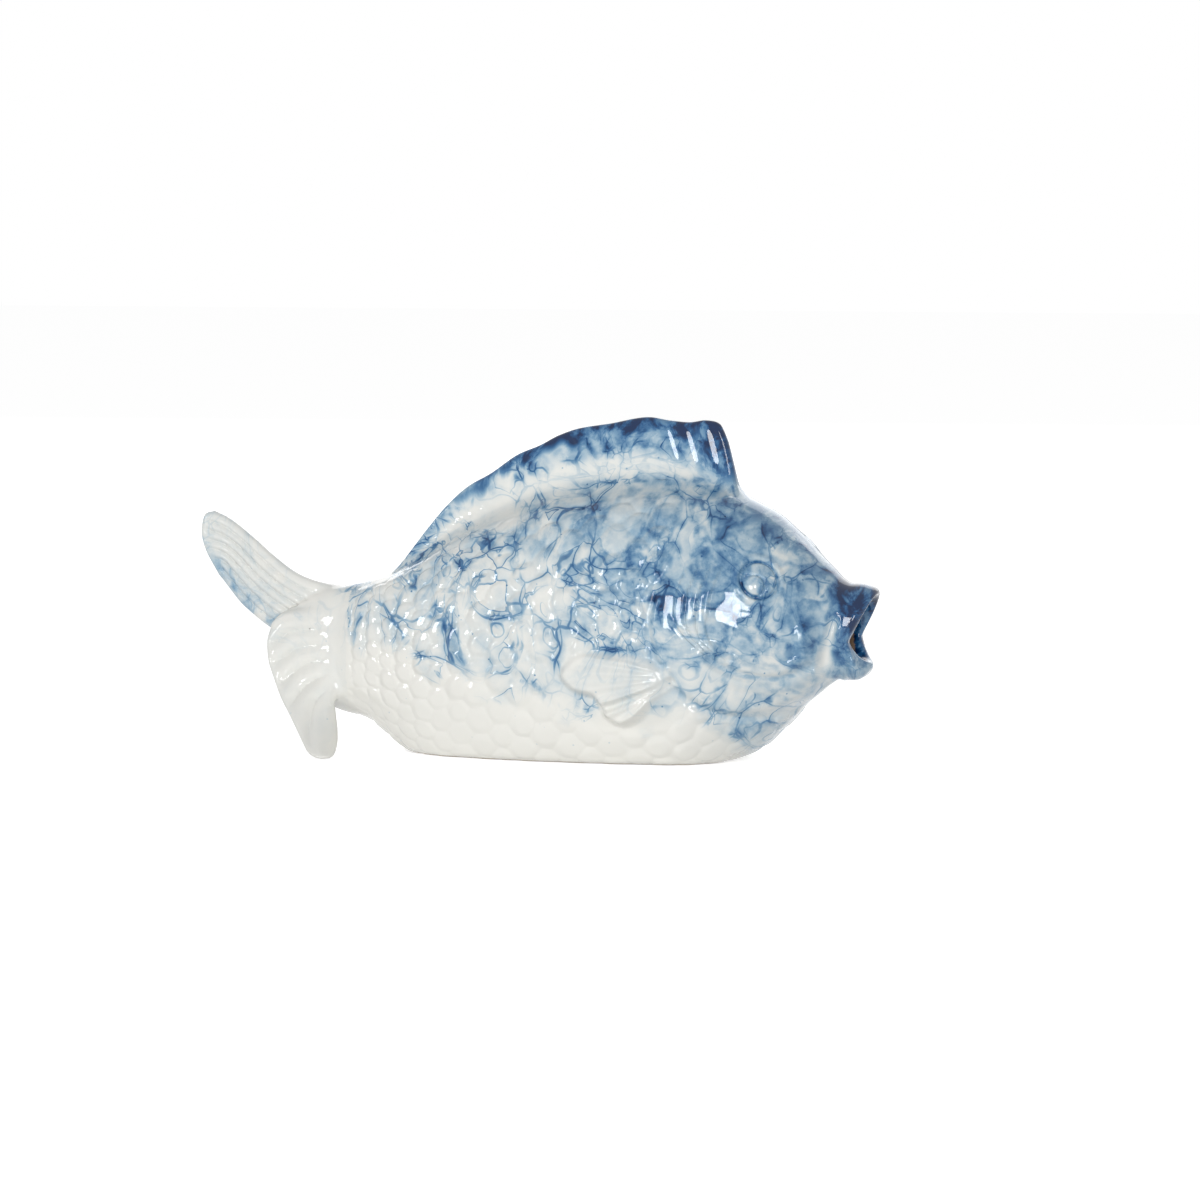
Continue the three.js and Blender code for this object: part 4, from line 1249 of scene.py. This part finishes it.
def ceramic():
    material, s = new_material("foam_glaze")
    place = s.node("ShaderNodeTexCoord").outputs["Object"]
    flat = s.node("ShaderNodeVectorMath", {0: place, 1: (1, 0.4, 1)}, operation="MULTIPLY").outputs[0]
    glaze = s.node("ShaderNodeAttribute", attribute_name="glaze", attribute_type="GEOMETRY")
    channels = s.node("ShaderNodeSeparateColor", {0: glaze.outputs["Color"]})
    ink, wash, deep = channels.outputs[0], channels.outputs[1], channels.outputs[2]
    clay = glaze.outputs["Alpha"]

    bent = s.warp(s.warp(s.warp(flat, 30, 6.0), 9, 1.3), 3.5, 0.4)
    vary = s.cloud(bent, (0, 0, 0.4), 13, 0.4, 0.62, 1)
    blotch = s.cloud(bent, (0.9, 0.3, 0), 13, 0.4, 0.6, 2)
    dabs = s.cloud(flat, (0, 0.9, 0), 6, 0.38, 0.62, 4, 0.6)

    # three sizes of foam cells, each drawn over only part of the glaze
    big, _, _, big_tint = s.bubbles(bent, BIG, (0, 0, 0), 0.85)
    mid, mid_r, mid_own, mid_tint = s.bubbles(bent, MIDDLE, (0.11, 0.07, 0), 0.85)
    small, _, _, _ = s.bubbles(bent, SMALL, (0, 0.13, 0.05), 0.9)
    foam = s.cloud(bent, (0.3, 0, 0), 21, 0.52, 0.61, 1)
    froth = s.cloud(bent, (0, 0.2, 0.3), 12, 0.6, 0.66, 1)

    force = s.add(0.12, s.times(vary, 0.88))
    strokes = s.times(s.ease(big, 0.52, 0.16), force)
    kept = s.ease(mid_own, 0.52, 0.6)
    strokes = s.most(strokes, s.times(s.ease(mid, 0.45, 0.14), kept, force, 0.9))
    round_gap = s.math("ABSOLUTE", s.math("SUBTRACT", mid_r, s.ease(mid_tint, 0, 1, 2.2, 4.2)))
    strokes = s.most(strokes, s.times(s.ease(round_gap, 0.38, 0.12), s.ease(mid_own, 0.72, 0.76), force, 0.8))
    inside = s.most(s.times(s.ease(big, 3.4, 1.2), foam), froth)
    strokes = s.most(strokes, s.times(s.ease(small, 0.38, 0.12), inside, 0.75))

    # glaze that gathers along the lines and in the froth
    soft_big, soft_mid, soft_small = s.ease(big, 3.2, 0), s.ease(mid, 2.4, 0.1), s.ease(small, 1.5, 0.1)
    halo = s.add(s.times(soft_big, force, 0.15), s.times(soft_mid, kept, force, 0.1))
    pool = s.times(inside, dabs, 0.3)
    drawn = s.times(ink, s.add(s.times(strokes, 0.54), halo, pool))

    cells = s.add(s.times(s.ease(mid_tint, 0.1, 0.9), 0.14), s.times(s.ease(big_tint, 0.2, 0.9), 0.1))
    gathered = s.add(s.times(soft_mid, dabs, 0.26), s.times(soft_small, blotch, 0.16))
    film = s.add(0.08, s.times(blotch, 0.2), gathered, cells)
    mottle = s.cloud(flat, (0, 0.5, 0), 4, 0.3, 0.7, 4, 0.6, 0.62, 1.12)
    tint = s.times(wash, film, mottle, 0.96)

    dots = s.node("ShaderNodeTexVoronoi", {"Vector": place, "Scale": 1 / (6 * MM)}, feature="F1")
    speck = s.times(s.ease(dots.outputs["Distance"], 0.085, 0.04), 0.4, s.add(0.25, ink))
    full = s.times(deep, s.cloud(bent, (0.2, 0.2, 0), 6, 0.36, 0.62, 4, 0.6, 0.42, 1.05))
    blue = s.add(drawn, tint, speck)
    blue = s.most(blue, s.add(s.times(full, 0.95), s.times(blue, 0.35, deep)))

    ramp = s.node("ShaderNodeValToRGB", {0: blue})
    stops = ramp.color_ramp.elements
    while len(stops) < len(GLAZE):
        stops.new(0.5)
    for stop, (at, _) in zip(stops, GLAZE):
        stop.position = at
    for stop, (_, colour) in zip(stops, GLAZE):
        stop.color = linear(colour)
    grit = s.noise(place, 1.2, 3, 0.7).outputs["Fac"]
    # where the glaze is bare, the wash channel moves the foot's clay towards the darker clay painted as shade
    # inside the mouth
    bare = s.mix(wash, linear(FOOT_CLAY), linear(SHADED_INNER_CLAY))
    bare = s.mix(s.ease(grit, 0.35, 0.7, 0.0, 0.35), bare, linear(CLAY_GRIT))
    colour = s.mix(clay, ramp.outputs[0], bare)
    gloss = s.ease(clay, 0.2, 0.8, 1.0, 0.0)
    rough = s.ease(clay, 0.2, 0.8, 0.45, 0.85)
    wave = s.noise(place, 9, 1).outputs["Fac"]
    height = s.add(s.times(wave, 0.35), s.times(grit, clay, 0.6))
    bump_node = s.node("ShaderNodeBump", {"Strength": 0.2, "Distance": 0.4 * MM, "Height": height})
    shader = s.node("ShaderNodeBsdfPrincipled", {
        "Base Color": colour,
        "Roughness": rough,
        "Specular IOR Level": 0.0,
        "Coat Weight": gloss,
        "Coat Roughness": 0.03,
        "Coat IOR": 1.45,
        "Normal": bump_node.outputs[0],
        "Coat Normal": bump_node.outputs[0],
    })
    s.node("ShaderNodeOutputMaterial", {"Surface": shader.outputs[0]})
    return material


# The photograph's frame: 450 mm across where the fish stands
AIM = Vector((0, 0, 0.0615))
CAMERA_TURN, CAMERA_RISE = math.radians(15), math.radians(5)
CAMERA_AWAY = 1.8
FRAME_WIDTH = 0.45
FRAME_RIGHT, FRAME_DOWN = 0.0225, 0.00375  # from the fish's middle to the frame's
SENSOR = 36.0


def direction(turn, rise):
    """Away from the object: turn 0 looks square at its right flank, and goes up towards its mouth."""
    return Vector((math.sin(turn) * math.cos(rise), -math.cos(turn) * math.cos(rise), math.sin(rise)))


def camera():
    back = direction(CAMERA_TURN, CAMERA_RISE)
    right = Vector((math.cos(CAMERA_TURN), math.sin(CAMERA_TURN), 0))
    up = back.cross(right)
    centre = AIM + right * FRAME_RIGHT - up * FRAME_DOWN
    data = bpy.data.cameras.new("camera")
    data.sensor_width = SENSOR
    data.sensor_height = SENSOR
    data.sensor_fit = "HORIZONTAL"
    data.lens = SENSOR * CAMERA_AWAY / FRAME_WIDTH
    data.clip_start = 0.05
    eye = bpy.data.objects.new("camera", data)
    eye.location = centre + back * CAMERA_AWAY
    eye.rotation_euler = back.to_track_quat("Z", "Y").to_euler()
    bpy.context.scene.collection.objects.link(eye)
    bpy.context.scene.camera = eye


def softbox(name, turn, rise, away, wide, tall, glow):
    """Rectangular lamp that faces the fish; glow is its brightness, where 1 is white."""
    data = bpy.data.lights.new(name, "AREA")
    data.shape = "RECTANGLE"
    data.size = wide
    data.size_y = tall
    data.energy = glow * math.pi * wide * tall
    lamp = bpy.data.objects.new(name, data)
    back = direction(math.radians(turn), math.radians(rise))
    lamp.location = AIM + back * away
    lamp.rotation_euler = back.to_track_quat("Z", "Y").to_euler()
    bpy.context.scene.collection.objects.link(lamp)


def seen_white(s, lit, white):
    """Shader that is lit for the light it gives and plain white where it is looked at or reflected."""
    path = s.node("ShaderNodeLightPath")
    rays = [path.outputs[kind] for kind in ("Is Camera Ray", "Is Glossy Ray", "Is Transmission Ray")]
    return s.node("ShaderNodeMixShader", {0: s.most(*rays), 1: lit, 2: white}).outputs[0]


def surroundings():
    world = bpy.data.worlds.new("studio")
    bpy.context.scene.world = world
    world.use_nodes = True
    s = Sheet(world.node_tree)
    lit, white = [s.node("ShaderNodeBackground", {"Color": (1, 1, 1, 1), "Strength": strength}).outputs[0]
                  for strength in (WORLD_FILL, 1.0)]
    s.node("ShaderNodeOutputWorld", {"Surface": seen_white(s, lit, white)})


def floor():
    """Pale table that keeps the object's shadow and runs out to white."""
    material, s = new_material("table")
    paper = s.node("ShaderNodeBsdfDiffuse", {"Color": (0.9, 0.9, 0.9, 1)}).outputs[0]
    glow = s.node("ShaderNodeEmission", {"Color": (1, 1, 1, 1), "Strength": FLOOR_LIFT}).outputs[0]
    lifted = s.node("ShaderNodeAddShader", {0: paper, 1: glow}).outputs[0]
    s.node("ShaderNodeOutputMaterial", {"Surface": seen_white(s, paper, lifted)})
    half = 6.0
    mesh = bpy.data.meshes.new("table")
    corners = [(-half, -half, 0), (half, -half, 0), (half, half, 0), (-half, half, 0)]
    mesh.from_pydata(corners, [], [(0, 1, 2, 3)])
    mesh.materials.append(material)
    table = bpy.data.objects.new("table", mesh)
    bpy.context.scene.collection.objects.link(table)


WORLD_FILL = 0.34
FLOOR_LIFT = 0.68
# Lamps: turn and rise as the camera's, distance, width and height in metres, brightness. The first three
# are small and show as highlights in the glaze; the last is large and dim and lights the far side.
LAMPS = {
    "key": (12, 9, 1.6, 0.36, 0.5, 15),
    "front": (31, 11, 1.6, 0.16, 0.44, 18),
    "side": (-53, 10, 1.5, 0.2, 0.44, 15),
    "far": (187, 26, 2.2, 2.4, 1.4, 1.3),
}

build_pieces(ceramic())
camera()
surroundings()
for lamp_name, lamp in LAMPS.items():
    softbox(lamp_name, *lamp)
floor()
bpy.context.scene.view_settings.view_transform = "Standard"
